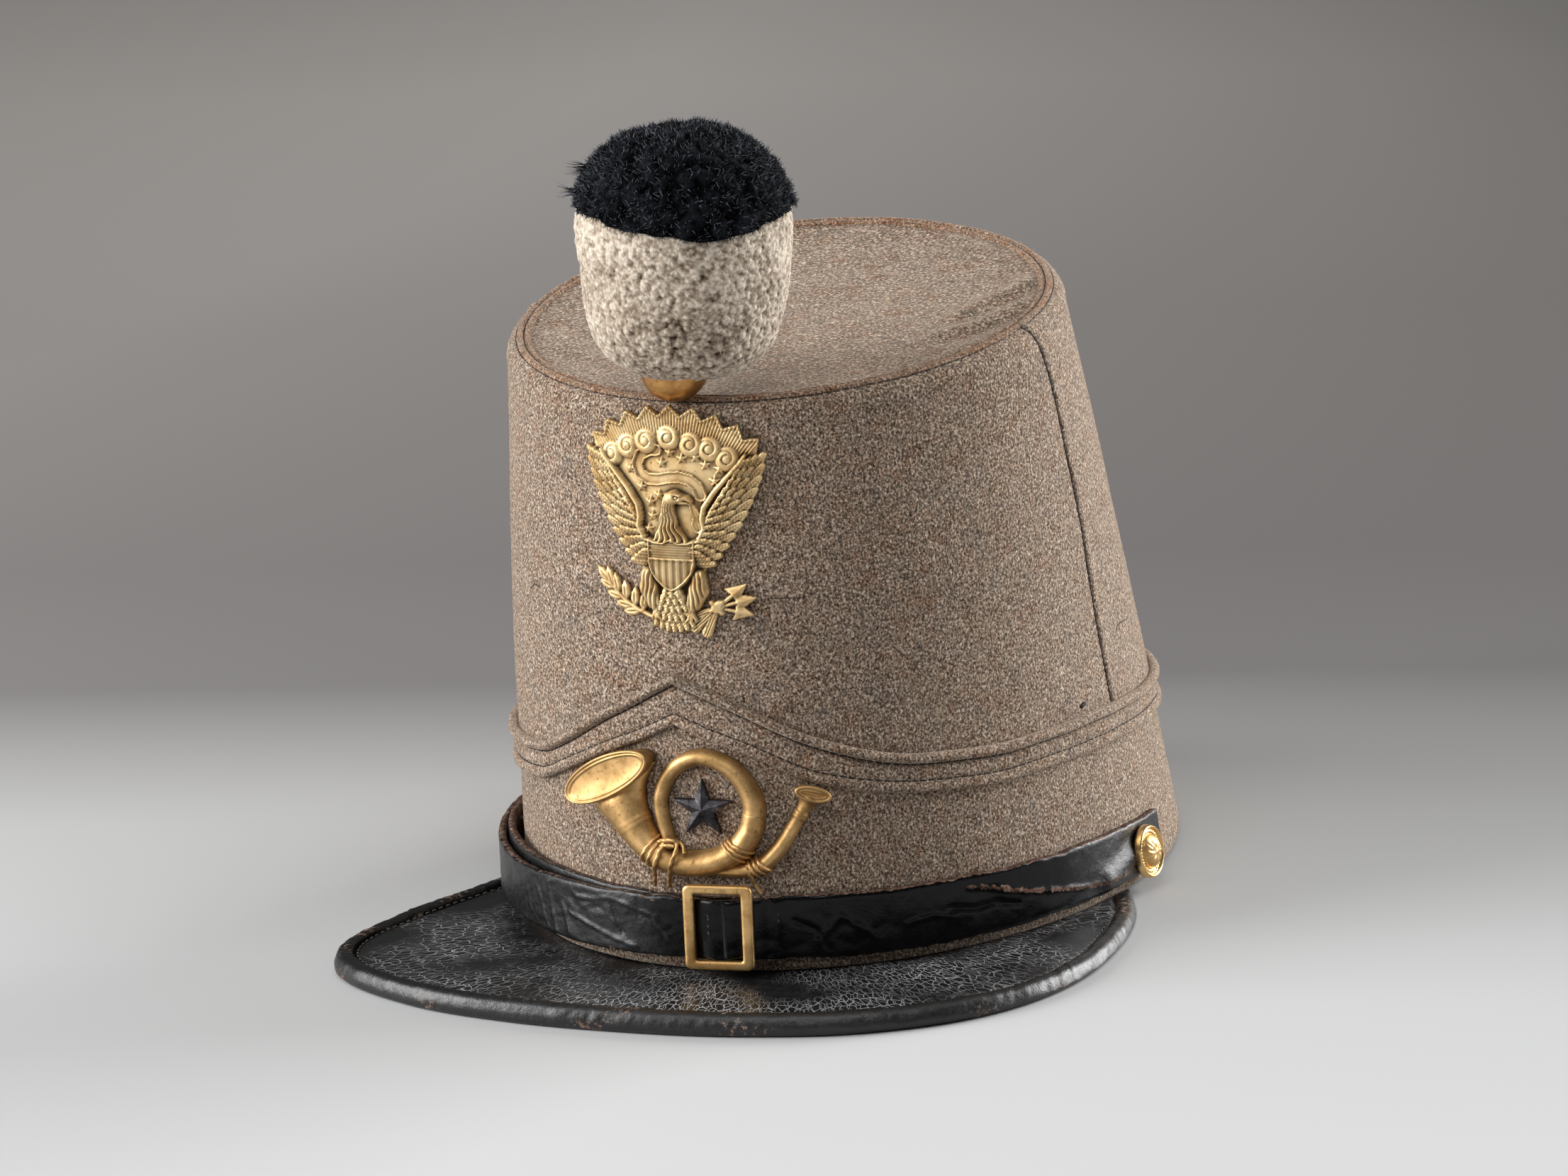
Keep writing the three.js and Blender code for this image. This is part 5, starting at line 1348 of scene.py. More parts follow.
# the dull under and on the wings is painted shade that tones down their bright slopes
for side in (-1, 1):
    mirror = np.array([side, 1])
    under = polygon_distance([(side * a, b) for a, b in WING_INNER + WING_OUTER[::-1]], x, y)
    eagle.put(under + 1.4, plate + 0.6, outline=False, dull=0.3)
    for row in WING_ROWS:
        for share in (np.arange(row["feathers"]) + 0.3) / row["feathers"]:
            tip = between(along_wing(WING_OUTER, share), along_wing(WING_INNER, share), row["inset"])
            deg = math.radians(np.interp(share, wing_share, FEATHER_DEGS))
            root = np.subtract(tip, row["length"] * np.array([math.cos(deg), math.sin(deg)]))
            level = plate + row["lift"]
            shape = feather(root * mirror, tip * mirror, row["half"], level, tilt=-0.42 * side)
            eagle.put(*shape, dull=0.44)
    roll = taper_distance([(side * a, b, c) for a, b, c in LEADING_EDGE], x, y)
    eagle.mound(roll, plate + 0.9, rise=1.1, width=0.65, outline=False, dull=0.1)

# %% Neck, head and shield
# y, left, right
NECK = [(34, -1.4, 1.6), (31.4, -2.2, 1.0), (29, -2.6, 1.2), (26, -3.2, 2.0), (24, -4.0, 3.4),
        (22, -4.8, 4.4)]
HEAD = [(0.2, 32.8, 1.7), (1.2, 33.2, 1.7), (2.4, 33, 1.2)]
UPPER_BEAK = [(2.6, 33.1, 0.95), (4.2, 33, 0.75), (5.2, 32.3, 0.5), (5.3, 31.5, 0.2)]
LOWER_BEAK = [(2.4, 31.9, 0.7), (4.3, 31.7, 0.4)]
BROW = [(1.0, 34.1, 0.3), (3.1, 33.8, 0.35)]
EYE = (2.0, 33.2)
SHIELD = [(-6.1, 23), (-4.2, 22.3), (-2, 22.2), (0, 23.2), (2, 22.2), (4.2, 22.3), (6.1, 23), (6.1, 17),
          (5.4, 14.4), (4, 12.4), (2, 10.6), (0, 9.6), (-2, 10.6), (-4, 12.4), (-5.4, 14.4), (-6.1, 17)]
SHIELD_CHIEF = 17.9

levels = [row[0] for row in NECK[::-1]]
left, right = (np.interp(y, levels, [row[k] for row in NECK[::-1]]) for k in (1, 2))
in_neck = (x - left) / (right - left)
neck_edge = np.maximum(np.maximum(left - x, x - right), np.maximum(22 - y, y - 34))
strands = np.cos(math.tau * (5.5 * in_neck + 0.25 * np.sin(y * 1.3)))
fullness = np.sqrt(np.clip(1 - (2 * in_neck - 1) ** 2, 0, 1))
eagle.put(neck_edge, plate + 0.4 + 1.5 * fullness + 0.36 * strands, outline=False, dull=0.12)
head = taper_distance(HEAD, x, y)
eagle.mound(head, plate + 0.7, rise=1.9, width=1.7, outline=False)
for beak, rise in ((LOWER_BEAK, 1.0), (UPPER_BEAK, 1.6)):
    bill = taper_distance(beak, x, y)
    eagle.mound(bill, plate + 0.5, rise, width=0.8, outline=False)
brow = taper_distance(BROW, x, y)
eagle.mound(brow, plate + 2.6, rise=0.4, width=0.35, outline=False)
from_eye = np.hypot(x - EYE[0], y - EYE[1])
eagle.height = eagle.height - 0.5 * bell(from_eye - 0.5, 0.18)
shield = polygon_distance(SHIELD, x, y)
lines = np.where(y > SHIELD_CHIEF, 0.07 * np.cos(math.tau * (y - SHIELD_CHIEF) / 0.62),
                 0.14 * soft_step(np.cos(math.tau * x / 1.78), -0.5, 0.3))
inside = soft_step(-shield, 0.5, 0.75)
face = plate + 1.4 + 0.35 * (1 - (x / 6.5) ** 2) + 0.5 * (1 - inside) + lines * inside
face = face + 0.3 * bell(y - SHIELD_CHIEF, 0.3) * inside
# the shield's dull is painted shade
eagle.put(shield, np.minimum(face, plate + 0.9 - shield * 3), outline=False, dull=0.5)

# %% Legs, tail, branch and arrows
TAIL_ROWS = table(
    "feathers spread tip length lift",
    (7, 5.0, -0.3, 5.4, 0.1), (6, 4.2, 2.2, 4.8, 0.35), (5, 3.4, 4.5, 4.2, 0.6),
    (4, 2.6, 6.6, 3.8, 0.85), (3, 1.8, 8.4, 3.2, 1.05),
)
STEM = [(-3, 2.6, 0.55), (-6.4, 3.2, 0.55), (-10.1, 4.6, 0.55), (-13.4, 6.4, 0.5), (-16.1, 8.6, 0.45),
        (-18.4, 11, 0.35)]
# root x, y, bearing
LEAVES = [(-8.6, 4.4, 82), (-10.8, 5.2, 88), (-13.2, 6.6, 95), (-15.4, 8.2, 104), (-17, 9.8, 112),
          (-18.2, 10.8, 138), (-11.6, 5.2, 172), (-14.4, 7, 166), (-16.6, 9.2, 160), (-9.4, 4.2, 186)]
LEAF = [(0.1, 0.4), (1.7, 1.2), (3.0, 1.1), (4.7, 0.2)]  # along, half width
KNOT = (10.6, 6.0)
ARROW_TIPS = [(18, 12), (20.4, 8.6), (19.6, 4.2)]
VANE_TIPS = [(2.8, 2.9), (5, 0.9), (8, -0.2)]
BOWS = [[(*KNOT, 1.5), (11.2, 6.6, 1.3)], [(9.4, 7.2, 0.7), (11.8, 4.8, 0.7)],
        [(9.2, 5.2, 0.6), (12, 7.4, 0.6)]]
LEG = [(6.6, 13.6, 1.8), (6.3, 10.2, 2.6), (5.1, 7, 2.0), (4.4, 5, 0.9)]

# the dull on the legs, tail, branch, leaves and arrows is painted shade, as they lie in shade
for side in (-1, 1):
    leg = taper_distance([(side * a, b, half) for a, b, half in LEG], x, y)
    shag = np.cos(math.tau * (side * x * 0.85 + 0.12 * y + 0.1 * np.sin(y * 1.3)))
    eagle.put(leg, plate + 0.3 + 1.5 * dome(leg, 2.2) + 0.17 * shag * soft_step(-leg, 0, 0.4), dull=0.42)
    for toe in (-0.9, 0, 0.9):
        claw = taper_distance([(side * 4.5, 5.2, 0.5), (side * (4.6 + toe), 3.2, 0.4),
                               (side * (4.3 + 1.4 * toe), 2.4, 0.2)], x, y)
        eagle.mound(claw, plate + 0.7, rise=0.6, width=0.5, outline=False)
for row in TAIL_ROWS:
    for tip_x in np.linspace(-row["spread"], row["spread"], row["feathers"]):
        tip = (tip_x, row["tip"] + 0.05 * tip_x ** 2)
        root = (0.6 * tip_x, tip[1] + row["length"])
        eagle.put(*feather(root, tip, half=0.95, base=plate + row["lift"], tilt=0.15), dull=0.32)
stem = taper_distance(STEM, x, y)
eagle.mound(stem, base=0.5, rise=0.8, width=0.5, dull=0.3)
for leaf_x, leaf_y, deg in LEAVES:
    point = (math.cos(math.radians(deg)), math.sin(math.radians(deg)))
    rows = [(leaf_x + along * point[0], leaf_y + along * point[1], half) for along, half in LEAF]
    blade = taper_distance(rows, x, y)
    vein = np.abs((x - leaf_x) * point[1] - (y - leaf_y) * point[0])
    eagle.put(blade, 0.6 + 0.75 * dome(blade, 0.8) - 0.25 * bell(vein, 0.16), dull=0.34)
for tip in ARROW_TIPS:
    shaft = taper_distance([(*KNOT, 0.5), (*between(KNOT, tip, 0.75), 0.45)], x, y)
    eagle.mound(shaft, base=0.6, rise=0.7, width=0.45, dull=0.28)
    barb = np.array(between(KNOT, tip, 0.44))
    ahead = np.subtract(tip, KNOT) / np.hypot(*np.subtract(tip, KNOT))
    cross = np.array([-ahead[1], ahead[0]])
    head_outline = [tip, tuple(barb + 2.5 * cross), tuple(barb + 0.6 * ahead), tuple(barb - 2.5 * cross)]
    head = polygon_distance(head_outline, x, y)
    off_middle = np.abs((x - tip[0]) * cross[0] + (y - tip[1]) * cross[1])
    eagle.put(head, 0.7 + 0.75 * np.clip(1 - off_middle / 1.9, 0, 1), dull=0.28)
for tip in VANE_TIPS:
    run = np.subtract(tip, KNOT)
    vane = taper_distance([(*KNOT, 0.5), (*between(KNOT, tip, 0.55), 1.0), (*tip, 1.35)], x, y)
    across = ((x - KNOT[0]) * run[1] - (y - KNOT[1]) * run[0]) / np.hypot(*run)
    barbs = 0.16 * np.cos(math.tau * across / 0.62) * (vane < -0.2)
    eagle.put(vane, 0.7 + 0.6 * dome(vane, 0.6) + barbs, dull=0.28)
for bow in BOWS:
    tie = taper_distance(bow, x, y)
    eagle.mound(tie, base=1.0, rise=0.9, width=0.9)


def on_eagle_seat(across, up, out):
    return on_wall(EAGLE["arc"] + across, EAGLE["height"] + up, GAP + out)


dress(eagle.piece("struck_eagle", on_eagle_seat, struck_brass), "worn_brass", "eagle_plate")

# %% [markdown]
# ## The hunting horn
# The lower badge is a horn stamped half round: a bell, a loop and a mouthpipe, tied with twisted cord.
# Each tube is a half round section carried along a curved line whose width is read from a short table.
# The bell's mouth is a dish inside a double lip, and every cord has two twisted strands, so its section
# has two lobes that turn.

# %% Horn
HORN_BACK = 0.35
HORN_STEP = 0.45
HORN_BELL = [(-16.4, 46.2, 12.6), (-16.2, 42.8, 8.9), (-13.1, 37.2, 5.8), (-7.8, 30.6, 4),
             (-2.4, 27.5, 3.5), (3, 26.9, 3.4), (9.6, 28, 3.3), (14.7, 30.8, 3.2), (18.2, 35.6, 3),
             (19.2, 40, 2.9)]
HORN_LOOP = [(18.8, 37.6, 2.9), (19.2, 42, 2.8), (17.1, 47.4, 2.6), (12.6, 52, 2.4), (6, 53.8, 2.1),
             (-0.6, 50.4, 2.0), (-4, 44, 1.9), (-4, 38.6, 1.8), (-1.9, 31, 1.7)]
HORN_PIPE = [(10, 25.4, 1.5), (16.4, 25.7, 2), (21, 27.3, 2.2), (24.8, 30.9, 2.1), (27.9, 35.7, 1.9),
             (30.6, 40.2, 1.7), (31.9, 42.4, 2.2), (32.7, 44, 3.6)]
BELL_RINGS = (11.4, 12.5)
PIPE_RINGS = (26.0, 26.9)
RING_RISE = 0.42
HORN_MOUTHS = table(
    "arc height half across deg face",
    (-17.4, 47.4, 13.8, 4.9, 28.7, 6.2), (33.1, 45, 4.2, 1.9, -17, 4.6),
)
# inset in mm, share of the face height
MOUTH_LIP = [(0.7, 0.0), (0.3, 0.55), (0.0, 0.82), (-0.12, 0.9), (0.0, 0.97), (0.3, 1.0), (0.6, 0.97),
             (0.78, 0.88), (0.98, 0.95), (1.25, 0.95), (1.45, 0.88)]
MOUTH_LEAN = 0.06
MOUTH_SINK = 0.45
CORD_RADIUS = 0.5
CORD_END_RADIUS = 0.58
CORD_TWIST = 2.4
CORD_POINTS = 12
TUBE_SHADE = {"most": 0.75, "tube": 1.6, "cord": 2.2}  # darkest at the back, and the height where it ends


def smooth_rows(rows, step):
    """Rows of arc, height and half width, read closely along their curve."""
    flat = np.array([row[:2] for row in rows], float)
    length = run_along(flat)
    known = table("run arc height half", *((run, *row) for run, row in zip(length, rows)))
    run = np.linspace(0, length[-1], int(length[-1] / step) + 2)
    read = [table_curve(known, "run", column)(run) for column in ("arc", "height", "half")]
    return run, np.stack(read, axis=1)


def tube_height(half):
    """How far a tube stands out: half round where it is thin, and flatter where it is wide."""
    return np.minimum(1.45 * half, 4.2 + 0.16 * half)


def half_round(rows, bands=(), mouth_deg=None):
    """The rings of a half round tube with a flat back, in arc, height and stand-off."""
    run, path = smooth_rows(rows, HORN_STEP)
    half = path[:, 2] + sum(RING_RISE * bell(run - band, 0.3) for band in bands)
    ahead = unit(np.gradient(path[:, :2], axis=0))
    cross = np.stack([ahead[:, 1], -ahead[:, 0]], axis=1)
    swell = tube_height(half)
    if mouth_deg is not None:
        faced = -np.array([math.cos(math.radians(mouth_deg)), math.sin(math.radians(mouth_deg))])
        held = bell(run, 9)[:, None]
        cross = unit(cross * (1 - held) + faced * held)
        swell = swell * (1 - MOUTH_SINK * bell(run, 3))
    turn = np.linspace(0, math.pi, 26)
    side = half[:, None] * np.cos(turn)
    rings = np.stack([path[:, :1] + side * cross[:, :1], path[:, 1:2] + side * cross[:, 1:],
                      HORN_BACK + swell[:, None] * np.sin(turn)], axis=-1)
    return rings + (0.09 * noise(rings, 3.2, 50))[..., None] * [0, 0, 1]


def mouth(row):
    """The rings of a bell's mouth: a rim, a double lip and a shallow dish."""
    turn = full_turn(96)
    deg = math.radians(row["deg"])
    steps = [(row["half"] - inset, row["across"] - inset, share * row["face"])
             for inset, share in MOUTH_LIP]
    wide, tall, top = steps[-1]
    steps += [(wide * s, tall * s, top - 0.35 * (1 - s ** 2)) for s in (0.94, 0.8, 0.6, 0.35, 0.02)]
    rings = []
    for half, across, z in steps:
        a, b = half * np.cos(turn), across * np.sin(turn)
        z = z - MOUTH_LEAN * b * (z / row["face"])
        arc = row["arc"] + a * math.cos(deg) - b * math.sin(deg)
        height = row["height"] + a * math.sin(deg) + b * math.cos(deg)
        rings.append(np.stack([arc, height, HORN_BACK + z], axis=1))
    return np.array(rings)


def twisted(path, side, radius):
    """The rings of a two-strand cord along a path, with a side direction to measure its turn from."""
    run = run_along(path)
    ahead = unit(np.gradient(path, axis=0))
    over = unit(np.cross(ahead, side))
    across = np.cross(over, ahead)
    turn = full_turn(CORD_POINTS)
    reach = radius * (0.72 + 0.28 * np.abs(np.cos(turn[None, :] - math.pi * run[:, None] / CORD_TWIST)))
    cosine, sine = np.cos(turn)[None, :, None], np.sin(turn)[None, :, None]
    return path[:, None] + reach[..., None] * (cosine * across[:, None] + sine * over[:, None])


def wrap(rows, place, lean, radius):
    """A cord once over a half round tube, at a place along it, leaning from side to side."""
    run, path = smooth_rows(rows, HORN_STEP)
    turn = np.linspace(math.radians(4), math.radians(176), 40)
    spot = np.stack([np.interp(place + lean * np.cos(turn), run, path[:, k]) for k in range(3)], axis=1)
    ahead = unit(np.gradient(path[:, :2], axis=0))
    ahead = np.stack([np.interp(place, run, ahead[:, k]) for k in range(2)])
    half = spot[:, 2] + 0.25
    line = np.stack([spot[:, 0] + half * np.cos(turn) * ahead[1],
                     spot[:, 1] - half * np.cos(turn) * ahead[0],
                     HORN_BACK + tube_height(half) * np.sin(turn)], axis=1)
    return twisted(line, np.array([*ahead, 0.0]), radius)


def hanging(points, radius):
    """A cord end through points of arc, height and stand-off."""
    share = np.linspace(0, 1, len(points))
    fine = np.linspace(0, 1, 36)
    path = np.stack([np.interp(fine, share, [p[k] for p in points]) for k in range(3)], axis=1)
    return twisted(path, np.array([0.0, 0.0, 1.0]), radius)


horn_bodies = [half_round(HORN_BELL, BELL_RINGS, mouth_deg=27.5), half_round(HORN_LOOP),
               half_round(HORN_PIPE, PIPE_RINGS)]
horn_bodies += [mouth(row) for row in HORN_MOUTHS]
WRAPS = [(HORN_BELL, 19.2, 0.4), (HORN_BELL, 20.8, 0.4), (HORN_BELL, 41.6, 0.7), (HORN_BELL, 42.8, 0.7),
         (HORN_BELL, 44.0, 0.7), (HORN_LOOP, 58.4, 0.4), (HORN_LOOP, 59.6, 0.4), (HORN_PIPE, 8.6, 0.6),
         (HORN_PIPE, 9.9, 0.6), (HORN_PIPE, 11.2, 0.6)]
horn_bodies += [wrap(rows, place, lean, CORD_RADIUS) for rows, place, lean in WRAPS]
CORD_ENDS = [
    [(-2.4, 32.4, 3.6), (-3, 30.6, 5.2), (-4.4, 27, 5.6), (-5.6, 23.8, 3.2), (-6.7, 20.8, 1.6)],
    [(0.6, 33.2, 3.2), (1.2, 31.2, 5.0), (-0.2, 27.6, 5.8), (-1.6, 23.8, 3.6), (-2.7, 20.8, 1.6)],
    [(1.4, 32.8, 3.2), (2.4, 31.4, 3.8), (3.0, 30.2, 4.6)],
    [(17.4, 27.6, 3.2), (17.8, 25, 2.6), (18.6, 22.4, 1.4), (20.2, 19.6, 1.4)],
    [(-4.2, 32.4, 3.2), (-2, 33.2, 4.4), (0.2, 33.2, 4.2), (1.8, 32.2, 3.0)],
    [(-3.8, 31.4, 3.2), (-1.6, 32, 4.6), (0.4, 31.8, 4.4)],
]
horn_bodies += [hanging(points, CORD_END_RADIUS) for points in CORD_ENDS]

points, faces, ends, marks, start = [], [], [], [], 0
for rings in horn_bodies:
    body, quads, caps = ring_body(on_wall(rings[..., 0], rings[..., 1], rings[..., 2]), start=start)
    points.append(body)
    faces.append(quads)
    ends += caps
    # painted shade: the hollow mark darkens every tube and cord towards the plate
    height = TUBE_SHADE["cord" if rings.shape[1] == CORD_POINTS else "tube"]
    low = np.clip(TUBE_SHADE["most"] - (rings[..., 2] - HORN_BACK) / height, 0, TUBE_SHADE["most"])
    marks.append(low.ravel())
    start += len(body)
horn = new_piece("hunting_horn", np.concatenate(points), np.concatenate(faces), horn_brass,
                 {"hollow": np.concatenate(marks)}, ends)
dress(horn, "worn_brass", "horn_badge")

# %% [markdown]
# ## The star inside the horn
# A small white-metal star sits in the horn's loop. Five ridges run from its middle to its points and five
# valleys between them, so flat shading alone shows its facets. Its metal is dull grey pewter with paler
# rubs.

# %% Badge star
STAR = {"arc": 6.6, "height": 40.8, "radius": 7.6, "waist": 3.1}
STAR_CORNERS = 10
# share of the reach, height
STAR_RINGS = [(1.0, 0.0), (1.0, 1.1), (0.96, 1.35), (0.9, 1.5), (0.45, 2.1), (0.04, 2.6)]
pewter, node, shader = new_material("tarnished_pewter", metallic=1.0)
place = node("TexCoord").outputs["Object"]
tarnish = node("TexNoise", {"Vector": place, "Scale": per_mm(2.2), "Detail": 6.0, "Roughness": 0.7})
tone = node("ValToRGB", {"Fac": tarnish}, [(0.34, "#262527"), (0.55, "#4c4a4d"), (0.72, "#848387")])
gloss = node("MapRange", {"Value": tarnish, "From Min": 0.3, "From Max": 0.7, "To Min": 0.62,
                          "To Max": 0.4})
bump = node("Bump", {"Height": tarnish, "Strength": 0.2, "Distance": 0.25 * MM})
set_inputs(shader, {"Base Color": tone, "Roughness": gloss, "Normal": bump})

turn = np.arange(STAR_CORNERS) * math.pi / 5
reach = np.where(np.arange(STAR_CORNERS) % 2, STAR["waist"], STAR["radius"])
rings = []
for share, z in STAR_RINGS:
    arc = STAR["arc"] + share * reach * np.sin(turn)
    height = STAR["height"] + share * reach * np.cos(turn)
    rings.append(on_wall(arc, height, np.full(STAR_CORNERS, GAP + z)))
star = loft("badge_star_facets", rings, pewter)
star.data.shade_flat()
dress(star, "white_metal", "badge_star")

# %% [markdown]
# ## The pompom
# The pompom is cut wool bound at its middle and clipped to a barrel: black plush above, off-white wool
# below, which time has matted into small knobs. It stands on a pin in a gilt cup. A table of radii along
# the leaning axis gives the clipped form. Knobs come from the distance to scattered points, pushed out of
# the surface, and each point keeps how high it stands, so that the crevices can be painted darker as
# shade. The off-white wool is also painted darker as shade towards its foot and in matted creases at the
# front.

# %% Pompom wool
def clipped_wool(name, stops, sheen, shine=0.2):
    """Matted or plush wool: coloured from dark to pale by its shade mark, which on the pompom is painted
    shade in the crevices; matt, with a soft sheen.
    """
    material, node, shader = new_material(name, roughness=0.95, specular_ior_level=shine,
                                          sheen_weight=sheen, sheen_roughness=0.4)
    place = node("TexCoord").outputs["Object"]
    depth = node("Attribute", attribute_name="shade").outputs["Fac"]
    flecks = node("TexNoise", {"Vector": place, "Scale": per_mm(0.8), "Detail": 3.0})
    spread = node("Math", {0: flecks, 1: 0.9, 2: -0.45}, operation="MULTIPLY_ADD")
    total = node("Math", {0: depth, 1: spread})
    colour = node("ValToRGB", {"Fac": total}, stops)
    bump = node("Bump", {"Height": flecks, "Strength": 0.6, "Distance": 0.5 * MM})
    set_inputs(shader, {"Base Color": colour, "Normal": bump})
    return material


MATTED_TONES = [(0.1, "#32261c"), (0.38, "#7f6f5f"), (0.62, "#a99a88"), (0.88, "#d6cab9")]
PLUSH_TONES = [(0.25, "#010101"), (0.6, "#050608"), (0.9, "#191b1f")]
matted_wool = clipped_wool("matted_wool", MATTED_TONES, sheen=0.15)
black_plush = clipped_wool("black_plush", PLUSH_TONES, sheen=0.03, shine=0.05)

# %% Pompom forms
POMPOM_FOOT = np.array([3.2, -87.2, 154.2])
POMPOM_HEAD = np.array([4.6, -84.3, 212.0])
POMPOM = table(
    "along radius",
    (-3, 10), (-2, 14), (0, 18), (3, 20.9), (8, 23), (16, 24.8), (26, 25.6), (36, 25.7), (42, 24.6),
    (47, 22.4), (51.4, 18), (54.9, 11.4), (56.8, 5),
)
POMPOM_SPLIT = 34.8
POMPOM_SECTORS = 360
POMPOM_WIDE = 26  # a usual radius, to lay noise round it
FRONT_TURN = -1.05
SPLIT = {"dip": 1.8, "dip_turn": -0.88, "dip_sharp": 14, "rise": 4.4, "rise_sharp": 1.6}
MATTED = {"along": 12.5, "tall": 6.5, "wide": 0.75, "pitch": 2.8, "sunk": 0.6, "crease_shade": 0.3}
CALM = {"middle": 0.62, "turn": 1.5, "mottle": 0.12, "pitch": 6.0}
pompom_radius = table_curve(POMPOM, "along", "radius")
pompom_up = unit(POMPOM_HEAD - POMPOM_FOOT)
pompom_right = unit(np.cross([0, 1, 0], pompom_up))
pompom_back = np.cross(pompom_up, pompom_right)


def knobs(points, size, seed):
    """Rounded knobs about size across: 1 in the middle of a knob and 0 in the crevices."""
    points = np.asarray(points) / size
    cell = np.floor(points).astype(np.int64)
    nearest = np.full(points.shape[:-1], 9.0)
    for corner in np.ndindex(3, 3, 3):
        near = cell + np.array(corner) - 1
        key = near @ LATTICE + seed * SEED_STEP
        spread = [scattered(key + AXIS_STEP * axis) for axis in range(3)]
        nearest = np.minimum(nearest, ((points - near - np.stack(spread, axis=-1)) ** 2).sum(axis=-1))
    return np.clip(1 - nearest, 0, 1)


def clipped_form(name, low, high, rows, material, lumps, overhang=0.0, foot_shade=0.0, calm=0.0):
    """A stretch of the clipped barrel between two edges, lumpy on the outside and closed at both ends."""
    turn = full_turn(POMPOM_SECTORS)
    side = np.cos(turn)[:, None] * pompom_right + np.sin(turn)[:, None] * pompom_back
    fine = np.linspace(0, 1, 400)
    middle = pompom_radius(np.mean(low) + (np.mean(high) - np.mean(low)) * fine)
    length = np.cumsum(np.hypot(np.gradient(fine) * np.mean(high - low), np.gradient(middle)))
    share = np.interp(np.linspace(length[0], length[-1], rows), length, fine)[:, None]
    along = low + (high - low) * share
    radius = pompom_radius(along)
    slope = (pompom_radius(along + 0.2) - pompom_radius(along - 0.2)) / 0.4
    out = unit(side[None] - slope[..., None] * pompom_up)
    base = POMPOM_FOOT + along[..., None] * pompom_up + radius[..., None] * side[None]
    fields = [knobs(base, row["size"], row["seed"]) for row in lumps]
    # painted shade: crevices get a low shade mark, and foot_shade darkens the wool towards the foot
    knob = sum(row["share"] * field for row, field in zip(lumps, fields)) - foot_shade * (1 - share)
    rise = sum(row["rise"] * (field - 0.6) for row, field in zip(lumps, fields))
    matting = 1 - calm * (1 - np.exp(CALM["turn"] * (np.cos(turn - FRONT_TURN) - 1)))
    mottle = CALM["mottle"] * noise(base, CALM["pitch"], 51)
    knob = CALM["middle"] + (knob - CALM["middle"]) * matting + mottle
    rise = rise * matting + 0.7 * noise(base, 11, 30)
    rise = rise + overhang * bell(along - low, 4)
    facing = bell(turn - math.tau - FRONT_TURN, MATTED["wide"])
    lain = np.stack(np.broadcast_arrays(turn * POMPOM_WIDE * 0.3, along), axis=-1)
    crease = np.clip(1 - 2.4 * np.abs(noise(lain, MATTED["pitch"], 50)), 0, 1) * (1.2 - knob)
    crease = crease * facing * bell(along - MATTED["along"], MATTED["tall"])
    rise = rise - MATTED["sunk"] * crease
    # painted shade: the matted creases at the front are coloured darker
    knob = knob - MATTED["crease_shade"] * crease
    return loft(name, base + out * rise[..., None], material, marks={"shade": knob})


GREY_LUMPS = table(
    "size rise share seed",
    (1.9, 0.75, 0.5, 31), (1.1, 0.45, 0.5, 32),
)
BLACK_LUMPS = table(
    "size rise share seed",
    (3.4, 2.0, 0.6, 33), (1.7, 0.9, 0.4, 34),
)
turn = full_turn(POMPOM_SECTORS)
circle = POMPOM_WIDE * np.stack([np.cos(turn), np.sin(turn)], axis=1)
dip = np.exp(SPLIT["dip_sharp"] * (np.cos(turn - SPLIT["dip_turn"]) - 1))
aside = 1 - np.exp(SPLIT["rise_sharp"] * (np.cos(turn - FRONT_TURN) - 1))
ragged_split = POMPOM_SPLIT - SPLIT["dip"] * dip + SPLIT["rise"] * aside
ragged_split = ragged_split + 0.7 * noise(circle, 13, 36) + 0.8 * noise(circle, 4, 37)
grey_wool = clipped_form("pompom_grey", -3 + 0 * turn, ragged_split, 140, matted_wool, GREY_LUMPS,
                         foot_shade=0.1, calm=0.32)
dress(grey_wool, "grey_wool", "pompom_body")
black_wool = clipped_form("pompom_black", ragged_split, POMPOM[-1]["along"] + 0 * turn, 70, black_plush,
                          BLACK_LUMPS, overhang=0.9)
dress(black_wool, "black_wool", "pompom_cap")

# %% [markdown]
# ## Loose fibres
# Cut wool and napped cloth end in loose fibres that catch the light along every edge. One Geometry Nodes
# tree scatters points on a surface, sets a thin pointed fibre on each, leans it at random, bends it by
# noise that grows towards its tip, and keeps a random shade for its colour. Its inputs are the sizes, so
# pompom, wall and piping share it. A hair system would look alike, but it would not come through as a
# mesh.

# %% Fibre tree
FIBRE_INPUTS = {"Float": ("Density", "Length", "Thickness", "Lean", "Curl"), "Int": ("Seed",),
                "Material": ("Material",)}


def new_tree(name, inputs):
    """A Geometry Nodes tree with named inputs, a function that adds nodes to it, and what it is given."""
    tree = bpy.data.node_groups.new(name, "GeometryNodeTree")
    tree.interface.new_socket("Geometry", in_out="INPUT", socket_type="NodeSocketGeometry")
    for kind, keys in inputs.items():
        for key in keys:
            tree.interface.new_socket(key, in_out="INPUT", socket_type="NodeSocket" + kind)
    tree.interface.new_socket("Geometry", in_out="OUTPUT", socket_type="NodeSocketGeometry")
    return tree, partial(add_node, tree), tree.nodes.new("NodeGroupInput").outputs


